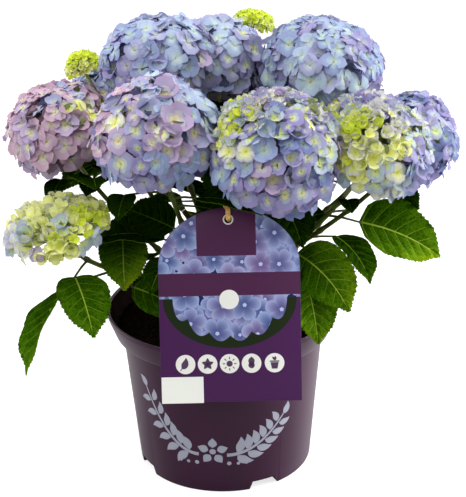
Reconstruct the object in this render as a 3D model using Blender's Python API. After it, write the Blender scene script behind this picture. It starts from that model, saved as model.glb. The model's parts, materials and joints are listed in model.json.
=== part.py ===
"""A potted mophead hydrangea: pot, soil, woody crown, canes, leafy shoots, flower heads and a tag.

Units are metres, +Z is up and the front faces -Y. The origin is the centre of the pot's flat
underside. Fifteen canes rise from a low woody crown. Each cane is a bare limb, then a shoot with
opposite leaves, then a flower head. Each of the three is a solid of its own.
"""
import math
import random

import bmesh
import bpy
from mathutils import Matrix, Vector
from mathutils.bvhtree import BVHTree

MM = 0.001
GAP = 0.3 * MM              # clearance between neighbouring solids
CLEARANCE = 0.8 * MM        # the least distance between foliage of two masses
SEED = 11

# Pot: a tapered shell with a rim band and four drain pockets under its edge
POT_SIDES = 40
POT_HEIGHT = 165 * MM
RIM_RADIUS = 115 * MM
BASE_RADIUS = 87 * MM
NECK_RADIUS = 100 * MM      # body just under the rim band
BAND_RADIUS = 107 * MM      # lower edge of the rim band
BAND_HEIGHT = 24 * MM
WALL = 2.6 * MM
LIP = 1.6 * MM              # rounding of the rim's edges
POCKETS = 4
POCKET_HEADING = -64.0      # degrees, the middle of the first pocket
POCKET_WIDTH = 31.4 * MM    # at the pot's foot
POCKET_SLANT = 3.2 * MM     # each side of a pocket leans in by this much
POCKET_HEIGHT = 9 * MM
POCKET_DEPTH = 17 * MM

# Soil
SOIL_EDGE = 147 * MM
SOIL_TOP = 153 * MM
SOIL_FLAT = 42 * MM         # radius of the level patch round the woody crown

# Woody crown: a ten-sided stool with a flat socket for each cane
CROWN_SIDES = 10
CROWN_FOOT = 30 * MM
CROWN_WAIST = 25 * MM
CROWN_TOP = 12 * MM
CROWN_FLARE = 7 * MM
CROWN_SHOULDER = 18 * MM
CROWN_HEIGHT = 28 * MM
TOP_SOCKETS = 5
TOP_RING = 7.4 * MM

# Tag: an arch-topped card that leans on the rim and is tied to a flower head's neck
TAG_WIDTH = 131 * MM
TAG_HEIGHT = 182 * MM
TAG_ARCH = 55 * MM          # height of the arch
TAG_THICK = 1.2 * MM
TAG_TILT = math.radians(15)
TAG_MIDDLE = 8 * MM
TAG_FOOT = 122 * MM         # height of its lower edge
TAG_ARCH_STEPS = 16
TAG_VIEW = 60 * MM          # no leaf or floret hangs in front of the tag, this far out
HOLE_DEPTH = 11 * MM        # the hole's centre below the top of the arch
HOLE_RADIUS = 3.4 * MM
HOLE_SIDES = 12
HOLE_REACH = 5 * MM         # the hole's cutter passes the card by this much
TIE_RADIUS = 1.3 * MM
TIE_HEAD = "front_right"
TIE_ABOVE = 11 * MM         # it goes round the head's neck, this far above the shoot
TIE_SLACK = 1.2 * MM        # the loop stands off the stem by this much
TIE_SIDES = 5
TIE_STEPS = 3               # points from one knot of the loop to the next
# The loop's knots from the tag's hole, in mm along +X, along the tag's outward way and up it
TIE_FRONT = ((0, 0, 0), (0, 3, 3.4), (0, 2.8, 9), (0, 0, 15))
TIE_BACK = ((12, -7, 6), (0, -3.6, -0.6))

# Limbs
LEAVE_SHARE = 0.30          # how firmly a stem leaves its socket, as a share of its reach
ENTER_SHARE = 0.42          # how firmly it turns in under its head
CANE_ROOT = 3.3 * MM
CANE_TIP = 2.8 * MM
SHOOT_TIP = 2.3 * MM
NECK_TIP = 2.0 * MM
LIFT = 320 * MM             # the greater, the more upright the heads stand
HEAD_CLEAR = 9 * MM         # the shoot ends this far under its head's florets
CANE_SHARE = 0.36           # the bare share of the stem under a head

# Flower heads: name, centre in mm, radius in mm, flattening, kind, socket
# (sockets r0 to r9 are round the woody crown's shoulder, t0 to t4 are on its top)
HEADS = (
    ("front_right", (52, -95, 355), 63, 0.92, "full", "r8"),
    ("front_left", (-57, -84, 368), 55, 0.92, "full", "r7"),
    ("right", (146, -55, 343), 50, 0.98, "full", "r9"),
    ("far_right", (192, 24, 326), 44, 1.0, "full", "r0"),
    ("left", (-152, -18, 356), 50, 0.9, "full", "r5"),
    ("low_left", (-152, -76, 277), 50, 0.58, "loose", "r6"),
    ("top_left", (-66, 18, 414), 48, 0.86, "full", "t3"),
    ("top_middle", (1, 72, 402), 46, 0.88, "full", "t1"),
    ("top_right", (107, 25, 402), 60, 0.74, "full", "t4"),
    ("bud_left", (-132, 62, 396), 17, 0.8, "bud", "t2"),
    ("bud_middle", (36, 118, 421), 21, 0.6, "bud", "t0"),
    ("back_left", (-110, 104, 345), 47, 0.9, "full", "r4"),
    ("back", (-16, 146, 348), 52, 0.9, "full", "r3"),
    ("back_right", (92, 126, 352), 51, 0.86, "full", "r2"),
    ("rear_right", (168, 104, 296), 46, 0.9, "full", "r1"),
)
# kind of head: its floret's area in mm2 of the head's surface, and its core's share of its radius
KINDS = {"full": (1380, 0.72), "loose": (1100, 0.34), "bud": (220, 0.6)}
COVER = math.radians(122)      # florets clothe the head from its pole down to this angle
FLORET_FILL = 0.52             # a floret's radius as a share of the side of its own area
FLORET_CREASE = 0.66           # where two petals meet, as a share of the floret's radius
FLORET_CUP = 0.06              # petal tips stand this much of the radius above the creases' mean
FLORET_EYE = 0.12              # the eye lies this much of the radius below it
FLORET_SIZES = (0.94, 1.04)    # smallest and largest floret, as shares of the even size
FLORET_DRIFT = 0.12            # radians a floret may stand aside from its even place
FLORET_DEPTH = (0.90, 0.95)    # florets stand at this share of the head's radius
HEEL_SHARE = 0.62              # a floret's heel lies in the core, this far out from its middle

# The crown's space: a leaf of a pair whose tip would leave it is skipped
CROWN_MIDDLE = (8 * MM, 22 * MM, 285 * MM)
CROWN_REACH = (222 * MM, 205 * MM, 160 * MM)

# Leaves
BLADE_SHARE = (0.30, 0.66)     # the blade's two wide stations along its length
BLADE_WIDTH = (0.33, 0.28)     # its half width there, as a share of its length
BLADE_THICK = 0.02
BLADE_FOLD = math.radians(14)  # each half rises from the midrib by this angle
PETIOLE = 26 * MM
PETIOLE_RADIUS = 1.5 * MM
PETIOLE_KEEL = 1.6             # the petiole's depth as a share of its radius
DODGES = ((0, 0), (9, 0), (-9, 0), (0, 10), (0, -10), (18, 0), (-18, 0), (12, 14), (-12, 14),
          (12, -14), (-12, -14), (28, 0), (-28, 0), (0, 24), (0, -24), (38, 8), (-38, 8))

# Leaves that hang clear of the crown: shoot, station on it, petiole (heading, length),
# blade (heading, rise, droop, length, roll), with degrees and millimetres
FREE_LEAVES = (
    ("right", 0.75, (-20, 31), (1, -12, 28, 88, 40)),
    ("right", 0.41, (16, 34), (-48, -8, 60, 61, -10)),
    ("right", 0.97, (-62, 8), (-84, 19, 50, 28, 0)),
    ("right", 0.34, (-95, 23), (-44, -8, 48, 79, 32)),
    ("front_right", 0.08, (-3, 64), (-79, -22, 45, 67, -10)),
    ("top_right", 0.37, (-70, 34), (-70, -6, 42, 66, 0)),
    ("left", 0.30, (-139, 19), (-86, -9, 36, 68, -3)),
    ("front_left", 0.23, (-168, 26), (-118, -15, 40, 42, 0)),
    ("front_left", 0.50, (150, 12), (145, 12, 8, 58, -48)),
    ("front_left", 0.99, (-161, 43), (-98, 8, 50, 38, 0)),
    ("front_left", 0.82, (8, 18), (12, -10, 35, 56, 16)),
    ("low_left", 0.91, (-107, 33), (-70, -12, 40, 70, 0)),
    ("low_left", 0.59, (-153, 52), (-120, -18, 48, 93, 38)),
    ("low_left", 0.40, (-86, 23), (-11, -16, 21, 74, 27)),
    ("low_left", 0.97, (161, 16), (163, -6, 20, 28, 0)),
    ("left", 0.98, (-60, 8), (-95, 12, 45, 34, -22)),
    ("left", 0.97, (173, 26), (-117, -4, 45, 32, 0)),
)
# Pairs of opposite leaves, each pair a quarter turn on from the last: station, rise, droop, length
PAIR_TURN = 20                 # degrees a pair's leaf may turn from its even heading
PAIR_RISE = 6                  # degrees it may rise above or below its level's rise
PAIR_ROLL = 12                 # degrees it may roll about its midrib
PAIR_SIZES = (0.88, 1.06)      # shares of its level's length
PAIRS = (
    (0.04, -8, 58, 92),
    (0.32, 0, 56, 88),
    (0.62, 8, 50, 82),
    (0.92, 16, 42, 72),
)
# Levels whose pair a shoot has lost
SHED = {"right": (0, 1, 2, 3), "far_right": (0, 1, 3), "rear_right": (0, 1, 2),
        "front_right": (1,), "left": (0, 1, 2), "bud_left": (0, 1), "front_left": (0, 2),
        "low_left": (3,), "top_left": (0,), "back_left": (1,)}


def clear_scene():
    for scene_object in list(bpy.data.objects):
        bpy.data.objects.remove(scene_object, do_unlink=True)


def material(name, colour, roughness, metallic=0.0):
    made = bpy.data.materials.new(name)
    made.use_nodes = True
    shader = made.node_tree.nodes["Principled BSDF"]
    shader.inputs["Base Color"].default_value = (*colour, 1.0)
    shader.inputs["Roughness"].default_value = roughness
    shader.inputs["Metallic"].default_value = metallic
    made.diffuse_color = (*colour, 1.0)
    return made


def new_object(name, verts, faces, look=None):
    mesh = bpy.data.meshes.new(name)
    mesh.from_pydata([tuple(v) for v in verts], [], faces)
    mesh.update()
    made = bpy.data.objects.new(name, mesh)
    bpy.context.scene.collection.objects.link(made)
    if look:
        mesh.materials.append(look)
    return made


def turned(name, profile, sides, look, turn=0.0):
    """A solid of revolution; the profile's (radius, height) points run up its outer side."""
    verts = []
    rings = []
    for radius, height in profile:
        if radius < 1e-6:
            rings.append([len(verts)] * sides)
            verts.append(Vector((0, 0, height)))
            continue
        rings.append(list(range(len(verts), len(verts) + sides)))
        for k in range(sides):
            angle = turn + 2 * math.pi * k / sides
            verts.append(Vector((radius * math.cos(angle), radius * math.sin(angle), height)))
    faces = []
    for low, high in zip(rings, rings[1:]):
        for k in range(sides):
            corners = [low[k], low[(k + 1) % sides], high[(k + 1) % sides], high[k]]
            faces.append(list(dict.fromkeys(corners)))
    return new_object(name, verts, faces, look)


def smooth(made):
    made.data.shade_smooth()
    made.data.set_sharp_from_angle(angle=math.radians(35))


# --- pot, soil and woody crown ---------------------------------------------------------------

def cut(target, cutter, operation="DIFFERENCE"):
    modifier = target.modifiers.new(operation.lower(), "BOOLEAN")
    modifier.operation = operation
    modifier.object = cutter
    modifier.solver = "EXACT"


def pocket_wedge(name, heading, margin, low, outer):
    """A drain pocket's block: a trapezoid that stands on low and runs in from the radius outer."""
    high = POCKET_HEIGHT + margin
    foot, top = (POCKET_WIDTH / 2 + margin - POCKET_SLANT * z / POCKET_HEIGHT for z in (low, high))
    corners = []
    for reach in (BASE_RADIUS - POCKET_DEPTH - margin, outer):
        corners += [(reach, -foot, low), (reach, foot, low), (reach, top, high), (reach, -top, high)]
    faces = [(3, 2, 1, 0), (4, 5, 6, 7), (0, 1, 5, 4), (1, 2, 6, 5), (2, 3, 7, 6), (3, 0, 4, 7)]
    wedge = new_object(name, [Vector(c) for c in corners], faces)
    wedge.rotation_euler.z = math.radians(heading)
    wedge.hide_render = True
    wedge.display_type = "WIRE"
    return wedge


def inner_radius(height):
    """The pot's inner wall below the rim band."""
    share = (height - WALL) / (POT_HEIGHT - BAND_HEIGHT - WALL)
    return BASE_RADIUS - WALL + share * (NECK_RADIUS - BASE_RADIUS)


def make_pot_and_soil():
    plastic = material("pot plastic", (0.075, 0.018, 0.06), 0.45)
    peat = material("peat", (0.022, 0.014, 0.01), 0.95)
    step = POT_HEIGHT - BAND_HEIGHT
    ledge = step + WALL
    profile = (
        (0, 0), (BASE_RADIUS - LIP, 0), (BASE_RADIUS, LIP), (NECK_RADIUS, step - LIP),
        (NECK_RADIUS + LIP, step), (BAND_RADIUS - LIP, step), (BAND_RADIUS, step + LIP),
        (RIM_RADIUS - LIP, POT_HEIGHT - 3 * LIP), (RIM_RADIUS, POT_HEIGHT - 2 * LIP),
        (RIM_RADIUS, POT_HEIGHT - LIP / 2), (RIM_RADIUS - LIP, POT_HEIGHT),
        (RIM_RADIUS - WALL, POT_HEIGHT), (RIM_RADIUS - WALL - LIP, POT_HEIGHT - LIP),
        (BAND_RADIUS - WALL, ledge), (inner_radius(ledge), ledge),
        (BASE_RADIUS - WALL, WALL), (0, WALL),
    )
    pot = turned("pot", profile, POT_SIDES, plastic)
    edge_radius = BAND_RADIUS - WALL - GAP
    soil_profile = (
        (0, WALL + GAP), (BASE_RADIUS - WALL - GAP, WALL + GAP),
        (inner_radius(ledge) - GAP, ledge + GAP), (edge_radius, ledge + GAP),
        (edge_radius, SOIL_EDGE), (SOIL_FLAT, SOIL_TOP), (0, SOIL_TOP),
    )
    soil = turned("soil", soil_profile, POT_SIDES, peat)
    in_wall = BASE_RADIUS - WALL / 2
    outside = BASE_RADIUS + POCKET_DEPTH
    for k in range(POCKETS):
        heading = POCKET_HEADING + 360 / POCKETS * k
        cut(pot, pocket_wedge(f"pocket_shell_{k}", heading, WALL, WALL / 2, in_wall), "UNION")
        cut(pot, pocket_wedge(f"pocket_cutter_{k}", heading, 0.0, -POCKET_HEIGHT, outside))
        cut(soil, pocket_wedge(f"soil_cutter_{k}", heading, WALL + GAP, -POCKET_HEIGHT, outside))
    smooth(pot)
    smooth(soil)
    return pot, soil


def make_woody_crown():
    bark = material("old wood", (0.16, 0.115, 0.08), 0.85)
    foot = SOIL_TOP + GAP
    profile = (
        (0, foot), (CROWN_FOOT, foot), (CROWN_WAIST, foot + CROWN_FLARE),
        (CROWN_WAIST, foot + CROWN_SHOULDER), (CROWN_TOP, foot + CROWN_HEIGHT),
        (0, foot + CROWN_HEIGHT),
    )
    half_side = math.pi / CROWN_SIDES
    return turned("woody_crown", profile, CROWN_SIDES, bark, turn=-half_side)


def socket(code):
    """The point and the direction where a cane leaves the woody crown."""
    number = int(code[1])
    foot = SOIL_TOP + GAP
    if code[0] == "t":
        angle = 2 * math.pi * number / TOP_SOCKETS
        point = Vector((TOP_RING * math.cos(angle), TOP_RING * math.sin(angle), foot + CROWN_HEIGHT))
        return point + Vector((0, 0, GAP)), Vector((0, 0, 1))
    angle = 2 * math.pi * number / CROWN_SIDES
    reach = (CROWN_WAIST + CROWN_TOP) / 2 * math.cos(math.pi / CROWN_SIDES)
    slope_out = (CROWN_WAIST - CROWN_TOP) * math.cos(math.pi / CROWN_SIDES)
    slope_up = CROWN_HEIGHT - CROWN_SHOULDER
    normal = Vector((slope_up * math.cos(angle), slope_up * math.sin(angle), slope_out)).normalized()
    height = foot + (CROWN_SHOULDER + CROWN_HEIGHT) / 2
    point = Vector((reach * math.cos(angle), reach * math.sin(angle), height))
    return point + normal * GAP, normal


# --- limbs -----------------------------------------------------------------------------------

def head_axis(centre):
    return Vector((centre.x, centre.y, LIFT)).normalized()


def stem_line(code, centre, steps=60):
    """Points from the socket to the head's centre, along one smooth bend."""
    start, leave = socket(code)
    reach = (centre - start).length
    knots = (start, start + leave * reach * LEAVE_SHARE,
             centre - head_axis(centre) * reach * ENTER_SHARE, centre)
    line = []
    for k in range(steps + 1):
        t = k / steps
        s = 1 - t
        weights = (s ** 3, 3 * s * s * t, 3 * s * t * t, t ** 3)
        line.append(sum((p * w for p, w in zip(knots, weights)), Vector()))
    return line


def line_length(line):
    return sum((b - a).length for a, b in zip(line, line[1:]))


def along(line, distance):
    """The point and the tangent at a distance from the line's start."""
    for a, b in zip(line, line[1:]):
        step = (b - a).length
        if distance <= step:
            return a.lerp(b, distance / step), (b - a).normalized()
        distance -= step
    return line[-1].copy(), (line[-1] - line[-2]).normalized()


def tube(line, start, end, root, tip, sides, rings):
    """A tapered limb between two distances along a line, with flat ends."""
    verts = []
    side = None
    for k in range(rings + 1):
        share = k / rings
        point, tangent = along(line, start + (end - start) * share)
        if side is None:
            side = tangent.orthogonal().normalized()
        side = (side - tangent * side.dot(tangent)).normalized()
        other = tangent.cross(side)
        radius = root + (tip - root) * share
        for i in range(sides):
            angle = 2 * math.pi * i / sides
            verts.append(point + (side * math.cos(angle) + other * math.sin(angle)) * radius)
    faces = [tuple(range(sides))[::-1], tuple(range(rings * sides, (rings + 1) * sides))]
    for k in range(rings):
        for i in range(sides):
            j = (i + 1) % sides
            faces.append((k * sides + i, k * sides + j, (k + 1) * sides + j, (k + 1) * sides + i))
    return verts, faces


# --- keeping masses apart --------------------------------------------------------------------

class Space:
    """Every solid placed so far, so that a new piece can be tested against it."""

    def __init__(self):
        self.placed = []

    @staticmethod
    def box(verts):
        lows = [min(v[i] for v in verts) for i in range(3)]
        highs = [max(v[i] for v in verts) for i in range(3)]
        return lows, highs

    def add(self, owner, piece):
        verts, faces = piece
        self.placed.append((owner, BVHTree.FromPolygons(verts, faces), self.box(verts)))

    def clear(self, piece, but=()):
        """True where the piece, thickened by the clearance, meets nothing of another owner."""
        verts, faces = piece
        middle = sum(verts, Vector()) / len(verts)
        normals = [Vector() for _ in verts]
        for face in faces:
            a, b, c = (verts[i] for i in face[:3])
            normal = (b - a).cross(c - a).normalized()
            for i in face:
                normals[i] += normal
        fat = []
        for v, n in zip(verts, normals):
            push = n.normalized() if n.length > 1e-6 else (v - middle).normalized()
            fat.append(v + push * CLEARANCE)
        tree = BVHTree.FromPolygons(fat, faces)
        lows, highs = self.box(fat)
        for owner, other, (other_lows, other_highs) in self.placed:
            if owner in but:
                continue
            if any(lows[i] > other_highs[i] or highs[i] < other_lows[i] for i in range(3)):
                continue
            if tree.overlap(other):
                return False
        return True


def fuse(name, pieces, look):
    """Join a mass's pieces into one solid by one union on a collection."""
    main, *rest = [new_object(name if not k else f"{name}_{k}", *piece) for k, piece in enumerate(pieces)]
    main.data.materials.append(look)
    if rest:
        group = bpy.data.collections.new(name)
        for made in rest:
            made.data.materials.append(look)
            group.objects.link(made)
        union = main.modifiers.new("union", "BOOLEAN")
        union.operation = "UNION"
        union.operand_type = "COLLECTION"
        union.collection = group
        union.solver = "EXACT"
        graph = bpy.context.evaluated_depsgraph_get()
        joined = bpy.data.meshes.new_from_object(main.evaluated_get(graph))
        main.modifiers.clear()
        main.data = joined
        for made in rest:
            bpy.data.objects.remove(made, do_unlink=True)
        bpy.data.collections.remove(group)
    return main


# --- flower heads ----------------------------------------------------------------------------

def floret(centre, normal, radius, spin, heel):
    """Four petals round a sunk eye, narrowing behind to the heel."""
    side = normal.orthogonal().normalized()
    other = normal.cross(side)
    verts = []
    for k in range(8):
        angle = spin + k * math.pi / 4
        reach = radius if k % 2 == 0 else radius * FLORET_CREASE
        lift = radius * (FLORET_CUP if k % 2 == 0 else -FLORET_CUP)
        verts.append(centre + (side * math.cos(angle) + other * math.sin(angle)) * reach + normal * lift)
    verts.append(centre - normal * radius * FLORET_EYE)
    verts.append(heel)
    faces = [(k, (k + 1) % 8, 8) for k in range(8)] + [((k + 1) % 8, k, 9) for k in range(8)]
    return verts, faces


def core(centre, turn, radius, flat):
    """A small ball, flattened along the head's axis."""
    ball = bmesh.new()
    bmesh.ops.create_icosphere(ball, subdivisions=1, radius=1.0)
    shape = turn @ Matrix.Diagonal((radius, radius, radius * flat))
    verts = [centre + shape @ v.co for v in ball.verts]
    faces = [tuple(v.index for v in f.verts) for f in ball.faces]
    ball.free()
    return verts, faces


def spread(count, cover, rng):
    """Directions spread evenly over a cap round +Z, each a little off its place."""
    golden = math.pi * (3 - math.sqrt(5))
    for k in range(count):
        polar_z = 1 - (k + 0.5) / count * (1 - math.cos(cover))
        ring = math.sqrt(max(0.0, 1 - polar_z * polar_z))
        angle = k * golden + rng.uniform(-FLORET_DRIFT, FLORET_DRIFT)
        yield Vector((ring * math.cos(angle), ring * math.sin(angle), polar_z))


def grow_head(name, centre, radius, flat, kind, line, neck_start, space):
    """The pieces of a flower head: its neck, its core and the florets that find room."""
    rng = random.Random(f"{SEED}-{name}")
    area, core_share = KINDS[kind]
    owner = f"bloom_{name}"
    turn = head_axis(centre).to_track_quat("Z", "Y").to_matrix()
    side = math.sqrt(area) * MM
    count = round(2 * math.pi * radius * radius * flat * (1 - math.cos(COVER)) / side ** 2)
    pieces = [core(centre, turn, radius * core_share, flat),
              tube(line, neck_start, line_length(line), SHOOT_TIP, NECK_TIP, 5, 2)]
    for piece in pieces:
        space.add(owner, piece)
    for direction in spread(count, COVER, rng):
        spin = rng.uniform(0, math.pi / 2)
        local = Vector((direction.x, direction.y, direction.z * flat)) * radius
        normal = turn @ Vector((direction.x, direction.y, direction.z / flat)).normalized()
        place = centre + turn @ local * rng.uniform(*FLORET_DEPTH)
        heel = centre + turn @ local * core_share * HEEL_SHARE
        piece = floret(place, normal, side * FLORET_FILL * rng.uniform(*FLORET_SIZES), spin, heel)
        if space.clear(piece, but=(owner,)):
            space.add(owner, piece)
            pieces.append(piece)
    return pieces


# --- leaves ----------------------------------------------------------------------------------

def toward(heading, slope):
    """The way of a heading round +Z and a slope above the level, in degrees."""
    turn, angle = math.radians(heading), math.radians(slope)
    return Vector((math.cos(turn) * math.cos(angle), math.sin(turn) * math.cos(angle), math.sin(angle)))


def leaf(root, reach, hang):
    """A drooping pointed blade on its petiole, as the whole leaf and as its blade alone."""
    (petiole_turn, petiole), (turn, rise, droop, length, roll) = reach, hang
    roll = math.radians(roll)
    side = toward(turn + 90, 0)
    stalk_way = toward(petiole_turn, rise / 2)
    spine = [root + stalk_way * petiole]
    before = 0.0
    for station in (*BLADE_SHARE, 1.0):
        slope = rise - droop * (station + before) / 2
        spine.append(spine[-1] + toward(turn, slope) * length * (station - before))
        before = station
    base, first, second, tip = spine
    ribs = []
    for point, width, station in zip((first, second), BLADE_WIDTH, BLADE_SHARE):
        up = toward(turn, rise - droop * station + 90)
        across = side * math.cos(roll) + up * math.sin(roll)
        up = up * math.cos(roll) - side * math.sin(roll)
        lift = up * width * length * math.tan(BLADE_FOLD)
        thick = up * BLADE_THICK * length / 2
        out = across * width * length
        ribs += [point + out + lift, point - out + lift, point + thick, point - thick]
    # 2 and 6 are the left edge, 3 and 7 the right edge, 4 and 8 the top of the midrib, 5 and 9 its foot
    outer = [(4, 3, 7, 8), (4, 8, 6, 2), (8, 7, 1), (8, 1, 6)]
    outer += [(5, 9, 7, 3), (5, 2, 6, 9), (9, 1, 7), (9, 6, 1)]
    blade = ([base, tip] + ribs, outer + [(0, 3, 4), (0, 4, 2), (0, 5, 3), (0, 2, 5)])
    flat = Vector((-stalk_way.y, stalk_way.x, 0)).normalized() * PETIOLE_RADIUS
    drop = flat.cross(stalk_way) * PETIOLE_KEEL
    collar = [end + step for end in (root, base) for step in (flat, -flat, drop)]
    # 10 to 12 are the petiole's root and 13 to 15 its top: left, right and underside
    neck = [(12, 11, 10), (10, 11, 14, 13), (11, 12, 15, 14), (12, 10, 13, 15)]
    neck += [(13, 14, 4), (13, 4, 2), (14, 3, 4), (14, 15, 5, 3), (15, 13, 2, 5)]
    whole_verts = ([base, tip] + ribs + collar)[1:]
    whole = (whole_verts, [tuple(i - 1 for i in face) for face in outer + neck])
    return whole, blade


def in_crown(point):
    steps = zip(point, CROWN_MIDDLE, CROWN_REACH)
    return sum(((value - middle) / reach) ** 2 for value, middle, reach in steps) < 1


def grow_leaf(owner, root, reach, hang, space, free=False):
    """Take the first way of hanging that is clear of everything, or none."""
    turn, rise, *shape = hang
    for aside, lift in DODGES:
        whole, blade = leaf(root, (reach[0] + aside, reach[1]), (turn + aside, rise + lift, *shape))
        if not (free or in_crown(blade[0][1])):
            continue
        if space.clear(blade) and space.clear(whole, but=(owner,)):
            space.add(owner, whole)
            return [whole]
    return []


# --- tag and tie -----------------------------------------------------------------------------

def tag_frame():
    """The middle of the tag's lower edge on its back, its upward way and its outward way."""
    up = Vector((0, math.sin(TAG_TILT), math.cos(TAG_TILT)))
    out = Vector((0, -math.cos(TAG_TILT), math.sin(TAG_TILT)))
    lip = Vector((TAG_MIDDLE, -math.sqrt(RIM_RADIUS ** 2 - TAG_MIDDLE ** 2), POT_HEIGHT - LIP / 2))
    foot = lip + out * GAP
    foot -= up * ((foot.z - TAG_FOOT) / up.z)
    return foot, up, out


def arched_card(name, thick, look):
    """The tag's outline as a card whose back lies on the tag's back."""
    half = TAG_WIDTH / 2
    outline = [(-half, 0), (half, 0)]
    for k in range(TAG_ARCH_STEPS + 1):
        angle = math.pi * k / TAG_ARCH_STEPS
        outline.append((half * math.cos(angle), TAG_HEIGHT - TAG_ARCH * (1 - math.sin(angle))))
    count = len(outline)
    verts = [Vector((x, depth, y)) for depth in (0, -thick) for x, y in outline]
    faces = [tuple(range(count))[::-1], tuple(range(count, 2 * count))]
    faces += [(k, (k + 1) % count, count + (k + 1) % count, count + k) for k in range(count)]
    card = new_object(name, verts, faces, look)
    card.location = tag_frame()[0]
    card.rotation_euler.x = -TAG_TILT
    return card


def make_tag():
    tag = arched_card("tag", TAG_THICK, material("tag card", (0.10, 0.03, 0.12), 0.35))
    ends = ((0, -HOLE_REACH), (HOLE_RADIUS, -HOLE_REACH), (HOLE_RADIUS, HOLE_REACH), (0, HOLE_REACH))
    hole = turned("tag_hole", ends, HOLE_SIDES, None)
    hole.parent = tag
    hole.rotation_euler.x = math.pi / 2
    hole.location.z = TAG_HEIGHT - HOLE_DEPTH
    hole.hide_render = True
    hole.display_type = "WIRE"
    cut(tag, hole)
    return tag


def make_tie(neck):
    """A closed loop through the tag's hole and round a flower head's neck."""
    straw = material("straw tie", (0.55, 0.36, 0.14), 0.8)
    foot, up, out = tag_frame()
    hole = foot + up * (TAG_HEIGHT - HOLE_DEPTH) + out * TAG_THICK / 2
    right, back = Vector((1, 0, 0)), Vector((0, 1, 0))
    ring = SHOOT_TIP + TIE_RADIUS + TIE_SLACK
    front, behind = ([hole + (right * x + out * y + up * z) * MM for x, y, z in knots]
                     for knots in (TIE_FRONT, TIE_BACK))
    round_neck = [neck - back * ring - right * 2 * MM, neck + right * ring, neck + back * ring]
    knots = front + round_neck + behind
    line = []
    for k in range(len(knots)):
        a, b, c, d = (knots[(k + i) % len(knots)] for i in (-1, 0, 1, 2))
        for i in range(TIE_STEPS):
            t = i / TIE_STEPS
            line.append(0.5 * (2 * b + (c - a) * t + (2 * a - 5 * b + 4 * c - d) * t * t
                               + (3 * b - a - 3 * c + d) * t ** 3))
    sides = TIE_SIDES
    verts, faces = [], []
    count = len(line)
    side = right.copy()
    for k, point in enumerate(line):
        tangent = (line[(k + 1) % count] - line[k - 1]).normalized()
        side = (side - tangent * side.dot(tangent)).normalized()
        other = tangent.cross(side)
        for i in range(sides):
            angle = 2 * math.pi * i / sides
            verts.append(point + (side * math.cos(angle) + other * math.sin(angle)) * TIE_RADIUS)
    # the last ring meets the first one turned by the twist that the loop has gathered
    first = verts[0] - line[0]
    tangent = (line[0] - line[-1]).normalized()
    carried = (side - tangent * side.dot(tangent)).normalized()
    twist = math.atan2(tangent.dot(carried.cross(first)), carried.dot(first))
    shift = round(twist / (2 * math.pi / sides))
    for k in range(count):
        for i in range(sides):
            j = (i + 1) % sides
            p, q = (k + 1) % count, 0 if k + 1 < count else shift
            a, b = (i - q) % sides, (j - q) % sides
            faces.append((k * sides + i, k * sides + j, p * sides + b, p * sides + a))
    return new_object("tag_tie", verts, faces, straw)


def add_object(space, made, graph):
    graph.update()
    mesh = made.evaluated_get(graph).data
    verts = [made.matrix_world @ v.co for v in mesh.vertices]
    space.add(made.name, (verts, [tuple(p.vertices) for p in mesh.polygons]))


def main():
    clear_scene()
    pot, soil = make_pot_and_soil()
    crown = make_woody_crown()
    tag = make_tag()
    space = Space()
    graph = bpy.context.evaluated_depsgraph_get()
    tag_view = arched_card("tag_view", TAG_VIEW, None)
    for fixed in (pot, soil, crown, tag, tag_view):
        add_object(space, fixed, graph)
    bpy.data.objects.remove(tag_view, do_unlink=True)
    cane_look = material("cane bark", (0.2, 0.16, 0.09), 0.7)
    shoot_look = material("leaf green", (0.05, 0.16, 0.02), 0.45)
    bloom_look = material("lilac petals", (0.42, 0.45, 0.78), 0.6)

    stems = {}
    for name, centre_mm, radius_mm, flat, kind, code in HEADS:
        centre = Vector(centre_mm) * MM
        line = stem_line(code, centre)
        length = line_length(line)
        shoot_end = length - radius_mm * MM * flat - HEAD_CLEAR
        cane_end = shoot_end * CANE_SHARE
        cane = tube(line, 0, cane_end, CANE_ROOT, CANE_TIP, 6, 4)
        shoot = tube(line, cane_end + GAP, shoot_end, CANE_TIP, SHOOT_TIP, 5, 5)
        for piece, owner in ((cane, f"cane_{name}"), (shoot, f"shoot_{name}")):
            space.add(owner, piece)
        made = new_object(f"cane_{name}", *cane, cane_look)
        smooth(made)
        stems[name] = (line, cane_end + GAP, shoot_end, [shoot])

    line, start, end, _ = stems[TIE_HEAD]
    tie = make_tie(along(line, end + TIE_ABOVE)[0])
    add_object(space, tie, graph)

    for name, centre_mm, radius_mm, flat, kind, code in HEADS:
        line, start, end, _ = stems[name]
        pieces = grow_head(name, Vector(centre_mm) * MM, radius_mm * MM, flat, kind, line, end + GAP, space)
        fuse(f"bloom_{name}", pieces, bloom_look)

    rng = random.Random(SEED)
    for name, station, (stalk_turn, stalk), (turn, rise, droop, length, roll) in FREE_LEAVES:
        line, start, end, pieces = stems[name]
        root, _ = along(line, start + (end - start) * station)
        hang = (turn, rise, droop, length * MM, roll)
        grown = grow_leaf(f"shoot_{name}", root, (stalk_turn, stalk * MM), hang, space, free=True)
        pieces += grown
    for level, (station, rise, droop, length) in enumerate(PAIRS):
        for name, (line, start, end, pieces) in stems.items():
            root, _ = along(line, start + (end - start) * station)
            phase = math.degrees(math.atan2(root.y, root.x)) + 90 * level
            for half in (0, 180):
                hang = (phase + half + rng.uniform(-PAIR_TURN, PAIR_TURN),
                        rise + rng.uniform(-PAIR_RISE, PAIR_RISE), droop,
                        length * rng.uniform(*PAIR_SIZES) * MM, rng.uniform(-PAIR_ROLL, PAIR_ROLL))
                if level not in SHED.get(name, ()):
                    pieces += grow_leaf(f"shoot_{name}", root, (hang[0], PETIOLE), hang, space)
    for name, (_, _, _, pieces) in stems.items():
        fuse(f"shoot_{name}", pieces, shoot_look)


main()
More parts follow.
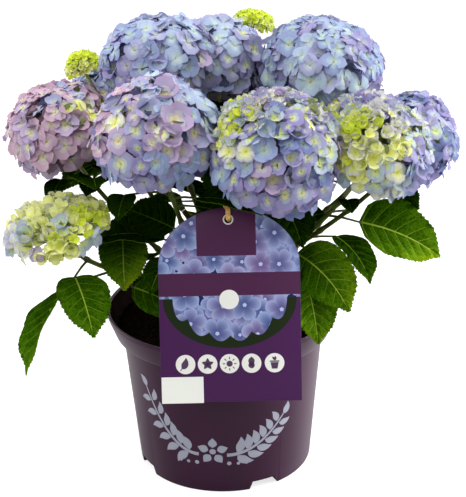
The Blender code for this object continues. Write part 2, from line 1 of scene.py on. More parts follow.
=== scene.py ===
# %% [markdown]
# # A potted mophead hydrangea
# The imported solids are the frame: they say where the pot, the canes, the leaves and the flower
# heads are. This lesson grows the fine surface round them. Every length is in metres, +Z is up
# and the front faces -Y. Each finished piece rides on the body "root" and stands for its solids.

# %% Load the frame
import json
import random
from math import atan2, cos, degrees, exp, pi, radians, sin, sqrt, tan, tau

import bmesh
import bpy
import numpy as np
from mathutils import Matrix, Vector
from mathutils.kdtree import KDTree

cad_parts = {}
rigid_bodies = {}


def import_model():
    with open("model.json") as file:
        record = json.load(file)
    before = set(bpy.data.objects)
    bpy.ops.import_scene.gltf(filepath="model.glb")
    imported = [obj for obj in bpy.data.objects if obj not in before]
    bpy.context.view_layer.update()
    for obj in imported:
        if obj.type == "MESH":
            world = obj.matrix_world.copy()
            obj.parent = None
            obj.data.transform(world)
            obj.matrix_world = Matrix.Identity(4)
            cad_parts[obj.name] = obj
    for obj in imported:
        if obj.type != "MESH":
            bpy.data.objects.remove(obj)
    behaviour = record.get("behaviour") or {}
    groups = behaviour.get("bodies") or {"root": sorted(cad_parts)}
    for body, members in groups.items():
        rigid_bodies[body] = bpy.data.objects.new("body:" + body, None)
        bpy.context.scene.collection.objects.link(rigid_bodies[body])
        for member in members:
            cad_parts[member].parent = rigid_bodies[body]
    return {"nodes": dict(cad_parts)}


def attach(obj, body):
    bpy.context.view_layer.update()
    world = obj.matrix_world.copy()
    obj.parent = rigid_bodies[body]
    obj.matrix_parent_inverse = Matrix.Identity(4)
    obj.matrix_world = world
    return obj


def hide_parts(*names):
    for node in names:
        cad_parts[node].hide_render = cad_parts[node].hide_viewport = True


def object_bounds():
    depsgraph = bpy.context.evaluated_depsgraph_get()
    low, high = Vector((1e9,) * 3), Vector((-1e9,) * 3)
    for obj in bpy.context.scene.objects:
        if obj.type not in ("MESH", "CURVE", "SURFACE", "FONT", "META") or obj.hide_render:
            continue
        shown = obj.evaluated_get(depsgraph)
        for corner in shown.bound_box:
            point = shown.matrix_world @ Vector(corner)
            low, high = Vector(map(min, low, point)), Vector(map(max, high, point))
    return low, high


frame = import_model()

cad_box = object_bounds()
MM = 0.001
SEED = 11
scene = bpy.context.scene
print("nodes in the frame:", len(frame["nodes"]))

# %% [markdown]
# ## Camera, floor and light
# The plant is seen from a little over its top, from 1.5 m away with a long lens, so the pot's
# sides stay nearly parallel. The light is a pale studio: an even white surround, soft panels at
# the front left and overhead, a weak one at the right, and two behind that edge the pot.

# %% Camera
CAMERA_PLACE = Vector((0.012, -1.364, 0.789))
CAMERA_DOWN = radians(22.5)
CAMERA_ROLL = radians(1.2)
FRAME_WIDTH = 466
FOCAL_PIXELS = 1500
SENSOR_WIDTH = 36.0

camera_data = bpy.data.cameras.new("camera")
camera_data.sensor_fit = "HORIZONTAL"
camera_data.sensor_width = SENSOR_WIDTH
camera_data.lens = FOCAL_PIXELS * SENSOR_WIDTH / FRAME_WIDTH
camera_data.clip_start = 0.01
camera = bpy.data.objects.new("camera", camera_data)
scene.collection.objects.link(camera)
aim = Matrix.Rotation(pi / 2 - CAMERA_DOWN, 4, "X") @ Matrix.Rotation(-CAMERA_ROLL, 4, "Z")
camera.matrix_world = Matrix.Translation(CAMERA_PLACE) @ aim
scene.camera = camera
print("lens in mm:", round(camera_data.lens, 1))

# %% Studio light
PANELS = (
    # name, place, looks at, width, height, watts, spread in degrees
    ("key", (-0.7, -1.3, 1.6), (0, 0, 0.3), 1.3, 1.3, 15, 180),
    ("over", (0.1, 0.1, 1.9), (0, 0, 0.3), 1.5, 1.5, 27, 180),
    ("fill", (1.3, -1.1, 0.8), (0, 0, 0.25), 1.0, 1.2, 3, 180),
    ("left_edge", (-1.1, 0.35, 0.25), (0, 0, 0.12), 1.1, 0.9, 15, 180),
    ("right_edge", (1.1, 0.35, 0.25), (0, 0, -0.35), 1.1, 0.9, 16, 90),
)
SURROUND_STRENGTH = 0.62    # what lights the plant
BACKDROP_STRENGTH = 1.00    # what the camera sees behind it


def wire(tree, *links):
    """Links as (from node, its output, to node, its input)."""
    for source, output, target, slot in links:
        tree.links.new(source.outputs[output], target.inputs[slot])


def hang_panel(name, place, target, width, height, watts, spread):
    light = bpy.data.lights.new(name, "AREA")
    light.shape = "RECTANGLE"
    light.size, light.size_y, light.energy = width, height, watts
    light.spread = radians(spread)
    panel = bpy.data.objects.new(name, light)
    turn = (Vector(target) - Vector(place)).to_track_quat("-Z", "Y").to_matrix().to_4x4()
    panel.matrix_world = Matrix.Translation(place) @ turn
    scene.collection.objects.link(panel)


for panel in PANELS:
    hang_panel(*panel)
world = bpy.data.worlds.new("studio")
world.use_nodes = True
nodes = world.node_tree.nodes
surround, backdrop = nodes["Background"], nodes.new("ShaderNodeBackground")
for shader, strength in ((surround, SURROUND_STRENGTH), (backdrop, BACKDROP_STRENGTH)):
    shader.inputs["Color"].default_value = (1.0, 1.0, 1.0, 1.0)
    shader.inputs["Strength"].default_value = strength
chooser, rays = nodes.new("ShaderNodeMixShader"), nodes.new("ShaderNodeLightPath")
wire(world.node_tree, (rays, "Is Camera Ray", chooser, "Fac"),
     (surround, "Background", chooser, 1), (backdrop, "Background", chooser, 2),
     (chooser, "Shader", nodes["World Output"], "Surface"))
scene.world = world
scene.view_settings.view_transform = "Standard"
print("panels:", len(PANELS))

# %% [markdown]
# ## Materials
# Effects that many finishes share are node groups: `speckle` mixes two colours by noise and
# `grain` turns noise into a small relief. The shader itself stays in each material. Petals,
# veins and print keep plain base colours, dealt out by slot, because their colours have a place.

# %% Shared shader groups


def new_group(name, inputs, outputs, tree="ShaderNodeTree"):
    """A node group with its inputs as (name, kind, default) and its outputs as (name, kind)."""
    group = bpy.data.node_groups.new(name, tree)
    for way, sockets in (("INPUT", inputs), ("OUTPUT", outputs)):
        for label, kind, *value in sockets:
            made = group.interface.new_socket(label, in_out=way, socket_type=f"NodeSocket{kind}")
            if value:
                made.default_value = value[0]
    return group, group.nodes.new("NodeGroupInput"), group.nodes.new("NodeGroupOutput")


def place_noise(group, start, detail):
    """Noise on the object's own coordinates, at the group's Scale."""
    where = group.nodes.new("ShaderNodeTexCoord")
    noise = group.nodes.new("ShaderNodeTexNoise")
    noise.inputs["Detail"].default_value = detail
    wire(group, (where, "Object", noise, "Vector"), (start, "Scale", noise, "Scale"))
    return noise


def make_speckle():
    """Two colours mixed by noise between the limits Low and High."""
    group, start, end = new_group(
        "speckle", (("Scale", "Float", 50.0), ("First", "Color"), ("Second", "Color"),
                    ("Low", "Float", 0.35), ("High", "Float", 0.65)),
        (("Color", "Color"), ("Mask", "Float")))
    noise = place_noise(group, start, 4.0)
    spread_out, mix = group.nodes.new("ShaderNodeMapRange"), group.nodes.new("ShaderNodeMix")
    mix.data_type = "RGBA"
    wire(group, (noise, "Fac", spread_out, "Value"), (start, "Low", spread_out, "From Min"),
         (start, "High", spread_out, "From Max"), (spread_out, "Result", mix, "Factor"),
         (start, "First", mix, "A"), (start, "Second", mix, "B"),
         (mix, "Result", end, "Color"), (spread_out, "Result", end, "Mask"))
    return group


def make_grain():
    """A small relief from noise."""
    group, start, end = new_group(
        "grain", (("Scale", "Float", 400.0), ("Depth", "Float", 0.0002)), (("Normal", "Vector"),))
    noise = place_noise(group, start, 3.0)
    relief = group.nodes.new("ShaderNodeBump")
    relief.inputs["Strength"].default_value = 1.0
    wire(group, (start, "Depth", relief, "Distance"), (noise, "Fac", relief, "Height"),
         (relief, "Normal", end, "Normal"))
    return group


speckle_group = make_speckle()
grain_group = make_grain()


def add_group(made, group, **values):
    node = made.node_tree.nodes.new("ShaderNodeGroup")
    node.node_tree = group
    for label, value in values.items():
        node.inputs[label].default_value = value
    return node


SHEEN_ROUGHNESS = 0.35      # low, so that a sheen keeps to the edges


def let_through(made, share):
    """Mixes in a translucent shader of the finish's own colour."""
    nodes = made.node_tree.nodes
    shader, colour = nodes["Principled BSDF"], nodes["Principled BSDF"].inputs["Base Color"]
    passing, mix = nodes.new("ShaderNodeBsdfTranslucent"), nodes.new("ShaderNodeMixShader")
    passing.inputs["Color"].default_value = colour.default_value
    if colour.links:
        made.node_tree.links.new(colour.links[0].from_socket, passing.inputs["Color"])
    mix.inputs["Fac"].default_value = share
    wire(made.node_tree, (shader, "BSDF", mix, 1), (passing, "BSDF", mix, 2),
         (mix, "Shader", nodes["Material Output"], "Surface"))


def finish(name, colour, roughness, second=None, scale=60.0, grain=None, sheen=0.0, gloss=0.5,
           through=0.0):
    """A finish: a colour, or two that noise mixes, with an optional grain of (scale, depth).

    A thin leaf or petal lets the share `through` of its light pass to its other side.
    """
    made = bpy.data.materials.new(name)
    made.use_nodes = True
    shader = made.node_tree.nodes["Principled BSDF"]
    shader.inputs["Base Color"].default_value = (*colour, 1.0)
    shader.inputs["Roughness"].default_value = roughness
    shader.inputs["Sheen Weight"].default_value = sheen
    shader.inputs["Sheen Roughness"].default_value = SHEEN_ROUGHNESS
    shader.inputs["Specular IOR Level"].default_value = gloss
    made.diffuse_color = (*colour, 1.0)
    if second:
        node = add_group(made, speckle_group, Scale=scale, First=(*colour, 1), Second=(*second, 1))
        wire(made.node_tree, (node, "Color", shader, "Base Color"))
    if grain:
        node = add_group(made, grain_group, Scale=grain[0], Depth=grain[1])
        wire(made.node_tree, (node, "Normal", shader, "Normal"))
    if through:
        let_through(made, through)
    return made


def srgb(red, green, blue):
    """The linear colour of an sRGB one from 0 to 255."""
    return tuple(((c / 255 + 0.055) / 1.055) ** 2.4 if c > 10 else c / 255 / 12.92
                 for c in (red, green, blue))


print("shared groups:", speckle_group.name, grain_group.name)

# %% [markdown]
# ## Pieces
# A piece is one mesh at the origin with its place in its vertices. `add_piece` makes it, and
# `settle` rides it on the root body and hides the solids that it stands for.

# %% Making pieces


def from_point(point, way, distance):
    """The flat point at a distance from another, on a heading."""
    return (point[0] + cos(way) * distance, point[1] + sin(way) * distance)


def circle(middle, radius, sides):
    return [from_point(middle, tau * k / sides, radius) for k in range(sides)]


def add_piece(name, verts, faces, looks, face_looks=None, smooth=True, sharp=None):
    """A mesh piece; face_looks deals its finishes out, and edges over `sharp` degrees stay hard."""
    mesh = bpy.data.meshes.new(name)
    mesh.from_pydata([tuple(v) for v in verts], [], faces)
    for look in looks:
        mesh.materials.append(look)
    if face_looks is not None:
        mesh.polygons.foreach_set("material_index", np.asarray(face_looks, np.int32))
    if smooth:
        mesh.shade_smooth()
        if sharp:
            mesh.set_sharp_from_angle(angle=radians(sharp))
    mesh.update()
    piece = bpy.data.objects.new(name, mesh)
    scene.collection.objects.link(piece)
    return piece


def settle(piece, slot, *nodes):
    """The piece rides on the root and stands for the nodes; slot is not used."""
    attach(piece, "root")
    if nodes:
        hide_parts(*nodes)
    print(piece.name, "triangles:", sum(len(p.vertices) - 2 for p in piece.data.polygons))


def evaluated_piece(source, name):
    """The source with its modifiers worked in, as a plain mesh at the origin."""
    graph = bpy.context.evaluated_depsgraph_get()
    graph.update()
    mesh = bpy.data.meshes.new_from_object(source.evaluated_get(graph))
    mesh.transform(source.matrix_world)
    mesh.name = name
    bpy.data.objects.remove(source, do_unlink=True)
    piece = bpy.data.objects.new(name, mesh)
    scene.collection.objects.link(piece)
    return piece


def smoothstep(low, high, value):
    t = min(1.0, max(0.0, (value - low) / (high - low)))
    return t * t * (3 - 2 * t)


print("the CAD box in mm:", [[round(v * 1000, 1) for v in corner] for corner in cad_box])

# %% [markdown]
# ## Where everything grows
# The stems follow the rule that laid out the solids: each leaves a socket on the woody crown
# and bends once to come up under its flower head. Leaves stand in opposite pairs, and the
# furthest ones have places of their own. The same numbers are drawn in the same order, so the
# fine leaves hang where the solid ones do.

# %% Sizes and places
GAP = 0.3 * MM
POT_HEIGHT, RIM_RADIUS, BASE_RADIUS = 165 * MM, 115 * MM, 87 * MM
NECK_RADIUS, BAND_RADIUS, BAND_HEIGHT = 100 * MM, 107 * MM, 24 * MM
WALL, LIP = 2.6 * MM, 1.6 * MM
SOIL_TOP, SOIL_EDGE, SOIL_FLAT = 153 * MM, 147 * MM, 42 * MM
CROWN_SIDES, CROWN_FOOT, CROWN_WAIST, CROWN_TOP = 10, 30 * MM, 25 * MM, 12 * MM
CROWN_FLARE, CROWN_SHOULDER, CROWN_HEIGHT = 7 * MM, 18 * MM, 28 * MM
TOP_SOCKETS, TOP_RING = 5, 7.4 * MM
LEAVE_SHARE, ENTER_SHARE, LIFT = 0.30, 0.42, 320 * MM
CANE_ROOT, CANE_TIP, SHOOT_TIP, NECK_TIP = 3.3 * MM, 2.8 * MM, 2.3 * MM, 2.0 * MM
HEAD_CLEAR, CANE_SHARE = 9 * MM, 0.36

# name, centre in mm, radius in mm, flattening, kind, socket
HEADS = (
    ("front_right", (52, -95, 355), 63, 0.92, "full", "r8"),
    ("front_left", (-57, -84, 368), 55, 0.92, "full", "r7"),
    ("right", (146, -55, 343), 50, 0.98, "full", "r9"),
    ("far_right", (192, 24, 326), 44, 1.0, "full", "r0"),
    ("left", (-152, -18, 356), 50, 0.9, "full", "r5"),
    ("low_left", (-152, -76, 277), 50, 0.58, "loose", "r6"),
    ("top_left", (-66, 18, 414), 48, 0.86, "full", "t3"),
    ("top_middle", (1, 72, 402), 46, 0.88, "full", "t1"),
    ("top_right", (107, 25, 402), 60, 0.74, "full", "t4"),
    ("bud_left", (-132, 62, 396), 17, 0.8, "bud", "t2"),
    ("bud_middle", (36, 118, 421), 21, 0.6, "bud", "t0"),
    ("back_left", (-110, 104, 345), 47, 0.9, "full", "r4"),
    ("back", (-16, 146, 348), 52, 0.9, "full", "r3"),
    ("back_right", (92, 126, 352), 51, 0.86, "full", "r2"),
    ("rear_right", (168, 104, 296), 46, 0.9, "full", "r1"),
)
COVER = radians(122)
CROWN_MIDDLE = (8 * MM, 22 * MM, 285 * MM)
CROWN_REACH = (222 * MM, 205 * MM, 160 * MM)

# shoot, station on it, petiole (heading, length), blade (heading, rise, droop, length, roll)
FREE_LEAVES = (
    ("right", 0.75, (-20, 31), (1, -12, 28, 88, 40)),
    ("right", 0.41, (16, 34), (-48, -8, 60, 61, -10)),
    ("right", 0.97, (-62, 8), (-84, 19, 50, 28, 0)),
    ("right", 0.34, (-95, 23), (-44, -8, 48, 79, 32)),
    ("front_right", 0.08, (-3, 64), (-79, -22, 45, 67, -10)),
    ("top_right", 0.37, (-70, 34), (-70, -6, 42, 66, 0)),
    ("left", 0.30, (-139, 19), (-86, -9, 36, 68, -3)),
    ("front_left", 0.23, (-168, 26), (-118, -15, 40, 42, 0)),
    ("front_left", 0.50, (150, 12), (145, 12, 8, 58, -48)),
    ("front_left", 0.99, (-161, 43), (-98, 8, 50, 38, 0)),
    ("front_left", 0.82, (8, 18), (12, -10, 35, 56, 16)),
    ("low_left", 0.91, (-107, 33), (-70, -12, 40, 70, 0)),
    ("low_left", 0.59, (-153, 52), (-120, -18, 48, 93, 38)),
    ("low_left", 0.40, (-86, 23), (-11, -16, 21, 74, 27)),
    ("low_left", 0.97, (161, 16), (163, -6, 20, 28, 0)),
    ("left", 0.98, (-60, 8), (-95, 12, 45, 34, -22)),
    ("left", 0.97, (173, 26), (-117, -4, 45, 32, 0)),
)
# station, rise, droop and length of each level's pair
PAIRS = ((0.04, -8, 58, 92), (0.32, 0, 56, 88), (0.62, 8, 50, 82), (0.92, 16, 42, 72))
# Levels whose pair a shoot has lost
SHED = {"right": (0, 1, 2, 3), "far_right": (0, 1, 3), "rear_right": (0, 1, 2),
        "front_right": (1,), "left": (0, 1, 2), "bud_left": (0, 1), "front_left": (0, 2),
        "low_left": (3,), "top_left": (0,), "back_left": (1,)}
PAIR_TURN, PAIR_RISE, PAIR_ROLL, PAIR_SIZES, PETIOLE = 20, 6, 12, (0.88, 1.06), 26 * MM
DODGES = ((0, 0), (9, 0), (-9, 0), (0, 10), (0, -10), (18, 0), (-18, 0), (12, 14), (-12, 14),
          (12, -14), (-12, -14), (28, 0), (-28, 0), (0, 24), (0, -24), (38, 8), (-38, 8))
print("heads:", len(HEADS), "placed leaves:", len(FREE_LEAVES))

# %% Stems


def socket_of(code):
    number = int(code[1])
    foot = SOIL_TOP + GAP
    if code[0] == "t":
        angle = 2 * pi * number / TOP_SOCKETS
        ring = Vector((cos(angle), sin(angle), 0)) * TOP_RING
        return ring + Vector((0, 0, foot + CROWN_HEIGHT + GAP)), Vector((0, 0, 1))
    angle = 2 * pi * number / CROWN_SIDES
    half = cos(pi / CROWN_SIDES)
    out = Vector((cos(angle), sin(angle), 0))
    slope = (CROWN_HEIGHT - CROWN_SHOULDER, (CROWN_WAIST - CROWN_TOP) * half)
    normal = (out * slope[0] + Vector((0, 0, slope[1]))).normalized()
    height = foot + (CROWN_SHOULDER + CROWN_HEIGHT) / 2
    point = out * (CROWN_WAIST + CROWN_TOP) / 2 * half + Vector((0, 0, height))
    return point + normal * GAP, normal


def head_axis(centre):
    """The way a head faces: outward and up."""
    return Vector((centre.x, centre.y, LIFT)).normalized()


STEM_STEPS = 60


def stem_line(code, centre):
    start, leave = socket_of(code)
    reach = (centre - start).length
    knots = (start, start + leave * reach * LEAVE_SHARE,
             centre - head_axis(centre) * reach * ENTER_SHARE, centre)
    line = []
    for k in range(STEM_STEPS + 1):
        t = k / STEM_STEPS
        weights = ((1 - t) ** 3, 3 * (1 - t) ** 2 * t, 3 * (1 - t) * t * t, t ** 3)
        line.append(sum((p * w for p, w in zip(knots, weights)), Vector()))
    return line


def along(line, distance):
    """The point at a distance along a line, and the line's direction there."""
    for a, b in zip(line, line[1:]):
        step = (b - a).length
        if distance <= step:
            return a.lerp(b, distance / step), (b - a).normalized()
        distance -= step
    return line[-1].copy(), (line[-1] - line[-2]).normalized()


stems = {}
for name, centre_mm, radius_mm, flat, _, code in HEADS:
    line = stem_line(code, Vector(centre_mm) * MM)
    length = sum((b - a).length for a, b in zip(line, line[1:]))
    shoot_end = length - radius_mm * MM * flat - HEAD_CLEAR
    stems[name] = (line, shoot_end * CANE_SHARE, shoot_end, length)
print("longest stem in mm:", round(max(s[3] for s in stems.values()) * 1000))

# %% [markdown]
# A leaf is offered several ways of hanging, and the first that was clear was taken. The solid
# shoot tells which: the tip of the way that was taken lies on its surface.

# %% Which leaves were taken
BLADE_BENDS = (0.30, 0.66, 1.0)     # where the solid blade bends
TIP_MATCH = 0.15 * MM


def toward(heading, slope):
    turn, angle = radians(heading), radians(slope)
    level = cos(angle)
    return Vector((cos(turn) * level, sin(turn) * level, sin(angle)))


def leaf_tip(root, reach, hang):
    """The tip of the solid leaf that leaves the stem at root."""
    (petiole_turn, petiole), (turn, rise, droop, length, _) = reach, hang
    point = root + toward(petiole_turn, rise / 2) * petiole
    before = 0.0
    for station in BLADE_BENDS:
        slope = rise - droop * (station + before) / 2
        point = point + toward(turn, slope) * length * (station - before)
        before = station
    return point


def in_crown(point):
    steps = zip(point, CROWN_MIDDLE, CROWN_REACH)
    return sum(((value - middle) / reach) ** 2 for value, middle, reach in steps) < 1


def corners_of(node):
    """The node's corner points, to be searched by nearness."""
    verts = frame["nodes"][node].data.vertices
    tree = KDTree(len(verts))
    for k, v in enumerate(verts):
        tree.insert(v.co, k)
    tree.balance()
    return tree


shoot_corners = {name: corners_of(f"shoot_{name}") for name in stems}


def taken_way(name, root, reach, hang, free):
    """The first way of hanging whose tip lies on the solid shoot, or None."""
    turn, rise, *shape = hang
    for aside, lift in DODGES:
        tried = ((reach[0] + aside, reach[1]), (turn + aside, rise + lift, *shape))
        tip = leaf_tip(root, *tried)
        if not (free or in_crown(tip)):
            continue
        if shoot_corners[name].find(tip)[2] < TIP_MATCH:
            return tried
    return None


leaves = []
rng = random.Random(SEED)
for name, station, (stalk_turn, stalk), (turn, rise, droop, length, roll) in FREE_LEAVES:
    line, start, end, _ = stems[name]
    root, _ = along(line, start + GAP + (end - start - GAP) * station)
    hang = (turn, rise, droop, length * MM, roll)
    way = taken_way(name, root, (stalk_turn, stalk * MM), hang, True)
    if way:
        leaves.append((name, root, *way, True))
for level, (station, rise, droop, length) in enumerate(PAIRS):
    for name, (line, start, end, _) in stems.items():
        root, _ = along(line, start + GAP + (end - start - GAP) * station)
        phase = degrees(atan2(root.y, root.x)) + 90 * level
        for half in (0, 180):
            hang = (phase + half + rng.uniform(-PAIR_TURN, PAIR_TURN),
                    rise + rng.uniform(-PAIR_RISE, PAIR_RISE), droop,
                    length * rng.uniform(*PAIR_SIZES) * MM, rng.uniform(-PAIR_ROLL, PAIR_ROLL))
            way = None
            if level not in SHED.get(name, ()):
                way = taken_way(name, root, (hang[0], PETIOLE), hang, False)
            if way:
                leaves.append((name, root, *way, False))
print("leaves taken:", len(leaves), "of them placed:", sum(l[4] for l in leaves))

# %% [markdown]
# ## Pot
# A nursery pot is moulded in one shot: a thin tapered shell, a stepped band under the rim, and
# drain pockets pressed in under the foot. A profile turned round +Z gives the shell, with small
# arcs at its corners so that they catch the light, and four blocks are cut out of the foot.

# %% Pot shell
POT_TURN_SIDES = 160
FILLET_STEPS, FILLET_SHARE = 4, 0.45    # a corner's arc takes up to this share of each side
POT_SHARP = radians(32)
POCKETS, POCKET_HEADING, POCKET_WIDTH, POCKET_SLANT = 4, -64.0, 31.4 * MM, 3.2 * MM
POCKET_HEIGHT, POCKET_DEPTH = 9 * MM, 17 * MM
BAND_FOOT = POT_HEIGHT - BAND_HEIGHT


def fillet(profile, radius):
    """The profile with an arc of about this radius at each corner."""
    rounded = [profile[0]]
    for a, b, c in zip(profile, profile[1:], profile[2:]):
        corner = Vector(b)
        back, on = Vector(a) - corner, Vector(c) - corner
        cut = min(radius, back.length * FILLET_SHARE, on.length * FILLET_SHARE)
        first, last = corner + back.normalized() * cut, corner + on.normalized() * cut
        for k in range(FILLET_STEPS + 1):
            t = k / FILLET_STEPS
            rounded.append(tuple(first * (1 - t) ** 2 + corner * 2 * t * (1 - t) + last * t * t))
    rounded.append(profile[-1])
    return rounded


def turned(name, profile, sides, looks):
    """A piece from a profile of (radius, height) turned round +Z."""
    verts, rings, faces = [], [], []
    for radius, height in profile:
        if radius < 1e-6:
            rings.append([len(verts)] * sides)
            verts.append((0, 0, height))
            continue
        rings.append(list(range(len(verts), len(verts) + sides)))
        verts += [(x, y, height) for x, y in circle((0, 0), radius, sides)]
    for low, high in zip(rings, rings[1:]):
        for k in range(sides):
            corners = [low[k], low[(k + 1) % sides], high[(k + 1) % sides], high[k]]
            faces.append(tuple(dict.fromkeys(corners)))
    return add_piece(name, verts, faces, looks)


def body_radius(height):
    """The pot's outer radius below the rim band."""
    return BASE_RADIUS + (NECK_RADIUS - BASE_RADIUS) * height / BAND_FOOT


def pocket_block(name, heading, margin, low, outer):
    """A drain pocket's block, grown by a margin, from its low face out to a radius."""
    high = POCKET_HEIGHT + margin
    foot, top = (POCKET_WIDTH / 2 + margin - POCKET_SLANT * z / POCKET_HEIGHT for z in (low, high))
    verts = []
    for reach in (BASE_RADIUS - POCKET_DEPTH - margin, outer):
        verts += [(reach, -foot, low), (reach, foot, low), (reach, top, high), (reach, -top, high)]
    faces = [(3, 2, 1, 0), (4, 5, 6, 7), (0, 1, 5, 4), (1, 2, 6, 5), (2, 3, 7, 6), (3, 0, 4, 7)]
    block = add_piece(name, verts, faces, [], smooth=False)
    block.rotation_euler.z = radians(heading)
    return block


def apply_cuts(piece, blocks, name):
    """The piece after each block is joined to it or cut from it."""
    for block, operation in blocks:
        change = piece.modifiers.new(operation.lower(), "BOOLEAN")
        change.operation, change.object, change.solver = operation, block, "EXACT"
    made = evaluated_piece(piece, name)
    for block, _ in blocks:
        bpy.data.objects.remove(block, do_unlink=True)
    return made


pot_look = finish("pot plastic", srgb(52, 17, 46), 0.4, second=srgb(47, 14, 41), scale=14.0,
                  grain=(900.0, 0.00004), gloss=0.2, sheen=0.2)
# The inner wall under the rim is near-black: painted shade inside the pot, with a little noise.
shaded_inside_look = finish("peaty inside", srgb(13, 8, 9), 0.9, second=srgb(22, 14, 13), scale=120.0,
                     gloss=0.0)
ledge = BAND_FOOT + WALL
inner_neck = BASE_RADIUS - WALL + (ledge - WALL) / (BAND_FOOT - WALL) * (NECK_RADIUS - BASE_RADIUS)
outside = [(0, 0), (BASE_RADIUS, 0), (NECK_RADIUS, BAND_FOOT), (BAND_RADIUS, BAND_FOOT),
           (RIM_RADIUS, POT_HEIGHT - 2 * LIP), (RIM_RADIUS, POT_HEIGHT),
           (RIM_RADIUS - WALL, POT_HEIGHT), (BAND_RADIUS - WALL, ledge), (inner_neck, ledge),
           (BASE_RADIUS - WALL, WALL), (0, WALL)]
shell = turned("pot_shell", fillet(outside, LIP), POT_TURN_SIDES, [pot_look])
blocks = []
for k in range(POCKETS):
    heading = POCKET_HEADING + 360 / POCKETS * k
    inner = pocket_block(f"pocket_wall_{k}", heading, WALL, WALL / 2, BASE_RADIUS - WALL / 2)
    hollow = pocket_block(f"pocket_{k}", heading, 0.0, -POCKET_HEIGHT, BASE_RADIUS + POCKET_DEPTH)
    blocks += [(inner, "UNION"), (hollow, "DIFFERENCE")]
pot_shell = apply_cuts(shell, blocks, "pot_shell")
pot_shell.data.shade_smooth()
pot_shell.data.materials.append(shaded_inside_look)
# inward faces under the rim take the painted-shade finish
for face in pot_shell.data.polygons:
    inward = face.normal.xy.dot(face.center.xy) < 0
    if inward and ledge - LIP < face.center.z < POT_HEIGHT - LIP:
        face.material_index = 1
pot_shell.data.set_sharp_from_angle(angle=POT_SHARP)
settle(pot_shell, "pot plastic", "pot")

# %% [markdown]
# A bold silver print runs round the pot's front: a flower in the middle and two sprigs that
# arch up from it, each with paired leaves and dots. The shapes are drawn flat, in millimetres
# along the wall and up it, then laid on the tapered wall a hair proud of it.

# %% Silver print on the pot
PRINT_LIFT = 0.12 * MM      # proud of the wall
# the rest is in millimetres on the wall, and in radians
PRINT_SHIFT, PRINT_FOOT = -12.0, 44.0
FLOWER_MIDDLE, FLOWER_HEART, FLOWER_RING, FLOWER_PETAL = 4, 3.2, 4.6, (11.0, 4.4)
SPRIG_START, SPRIG_REACH, SPRIG_STEPS = 14, 60, 24
SPRIG_RISE = {-1: 62, 1: 36}
SPRIG_THICK, SPRIG_THINNER = 1.9, 1.1
SPRIG_LEAVES, SPRIG_LEAF, SPRIG_TIP_LEAF = 6, (18, 4.6), (14, 3.8)
SPRIG_FIRST, SPRIG_SPACE, SPRIG_LEAF_TURN, SPRIG_LEAF_OFF = 0.10, 0.15, 0.9, 2.6
SPRIG_DOTS = ((16, 2.2), (25, 1.8), (33, 1.4))      # distance from the middle, radius
print_look = finish("silver print", srgb(150, 152, 166), 0.5, grain=(1400.0, 0.00002), gloss=0.2)


def on_wall(across, up):
    """A print's place on the pot's front, from millimetres along the wall and up it."""
    height = up * MM
    radius = body_radius(height) + PRINT_LIFT
    angle = -pi / 2 + across * MM / radius
    return (radius * cos(angle), radius * sin(angle), height)


def flat_ribbon(path, widths):
    """Flat corners and faces of a band of the given half widths along a path."""
    verts, faces = [], []
    for k, (x, y) in enumerate(path):
        ahead, back = path[min(k + 1, len(path) - 1)], path[max(k - 1, 0)]
        way = Vector((ahead[0] - back[0], ahead[1] - back[1])).normalized() * widths[k]
        verts += [(x + way.y, y - way.x), (x - way.y, y + way.x)]
    for k in range(len(path) - 1):
        faces.append((2 * k, 2 * k + 2, 2 * k + 3, 2 * k + 1))
    return verts, faces


def flat_leaf(base, heading, length, width, bend=0.5, steps=7):
    path, widths = [], []
    for k in range(steps + 1):
        t = k / steps
        way = heading + bend * (t - 0.5)
        path.append((base[0] + cos(way) * length * t, base[1] + sin(way) * length * t))
        widths.append(max(0.03 * width, width * sin(pi * t ** 0.8)))
    return flat_ribbon(path, widths)


def flat_dot(place, radius, sides=16):
    return ([place] + circle(place, radius, sides),
            [(0, 1 + k, 1 + (k + 1) % sides) for k in range(sides)])


def gather(pieces):
    """Several (corners, faces) as one."""
    verts, faces = [], []
    for more_verts, more_faces in pieces:
        base = len(verts)
        verts += more_verts
        faces += [tuple(base + i for i in face) for face in more_faces]
    return verts, faces


def sprig_point(side, share):
    """The stem's place at a share of its length: it sets off low and arches up and out."""
    return (PRINT_SHIFT + side * (SPRIG_START + SPRIG_REACH * share ** 0.85),
            PRINT_FOOT + SPRIG_RISE[side] * share ** 1.7)


def heading_of(first, second):
    return atan2(second[1] - first[1], second[0] - first[0])


flower_middle = (PRINT_SHIFT, PRINT_FOOT + FLOWER_MIDDLE)
shapes = [flat_dot(flower_middle, FLOWER_HEART)]
for k in range(5):
    way = pi / 2 + tau * k / 5
    start = from_point(flower_middle, way, FLOWER_RING)
    shapes.append(flat_leaf(start, way, *FLOWER_PETAL, bend=0.0))
for side in (-1, 1):
    shares = [k / SPRIG_STEPS for k in range(SPRIG_STEPS + 1)]
    shapes.append(flat_ribbon([sprig_point(side, share) for share in shares],
                              [SPRIG_THICK - SPRIG_THINNER * share for share in shares]))
    for k in range(SPRIG_LEAVES):
        share = SPRIG_FIRST + SPRIG_SPACE * k
        here = sprig_point(side, share)
        way = heading_of(here, sprig_point(side, share + 0.02))
        for turn in (SPRIG_LEAF_TURN, -SPRIG_LEAF_TURN):
            start = from_point(here, way + turn, SPRIG_LEAF_OFF)
            shapes.append(flat_leaf(start, way + turn, SPRIG_LEAF[0] - 0.9 * k,
                                    SPRIG_LEAF[1] - 0.2 * k))
    tip = sprig_point(side, 1.0)
    shapes.append(flat_leaf(tip, heading_of(sprig_point(side, 0.98), tip), *SPRIG_TIP_LEAF))
    for reach, radius in SPRIG_DOTS:
        place = (PRINT_SHIFT + side * reach, PRINT_FOOT - 9 - reach * 0.05)
        shapes.append(flat_dot(place, radius))
print_verts, print_faces = gather(shapes)
settle(add_piece("pot_print", [on_wall(*v) for v in print_verts], print_faces, [print_look],
                 smooth=False), "pot plastic")

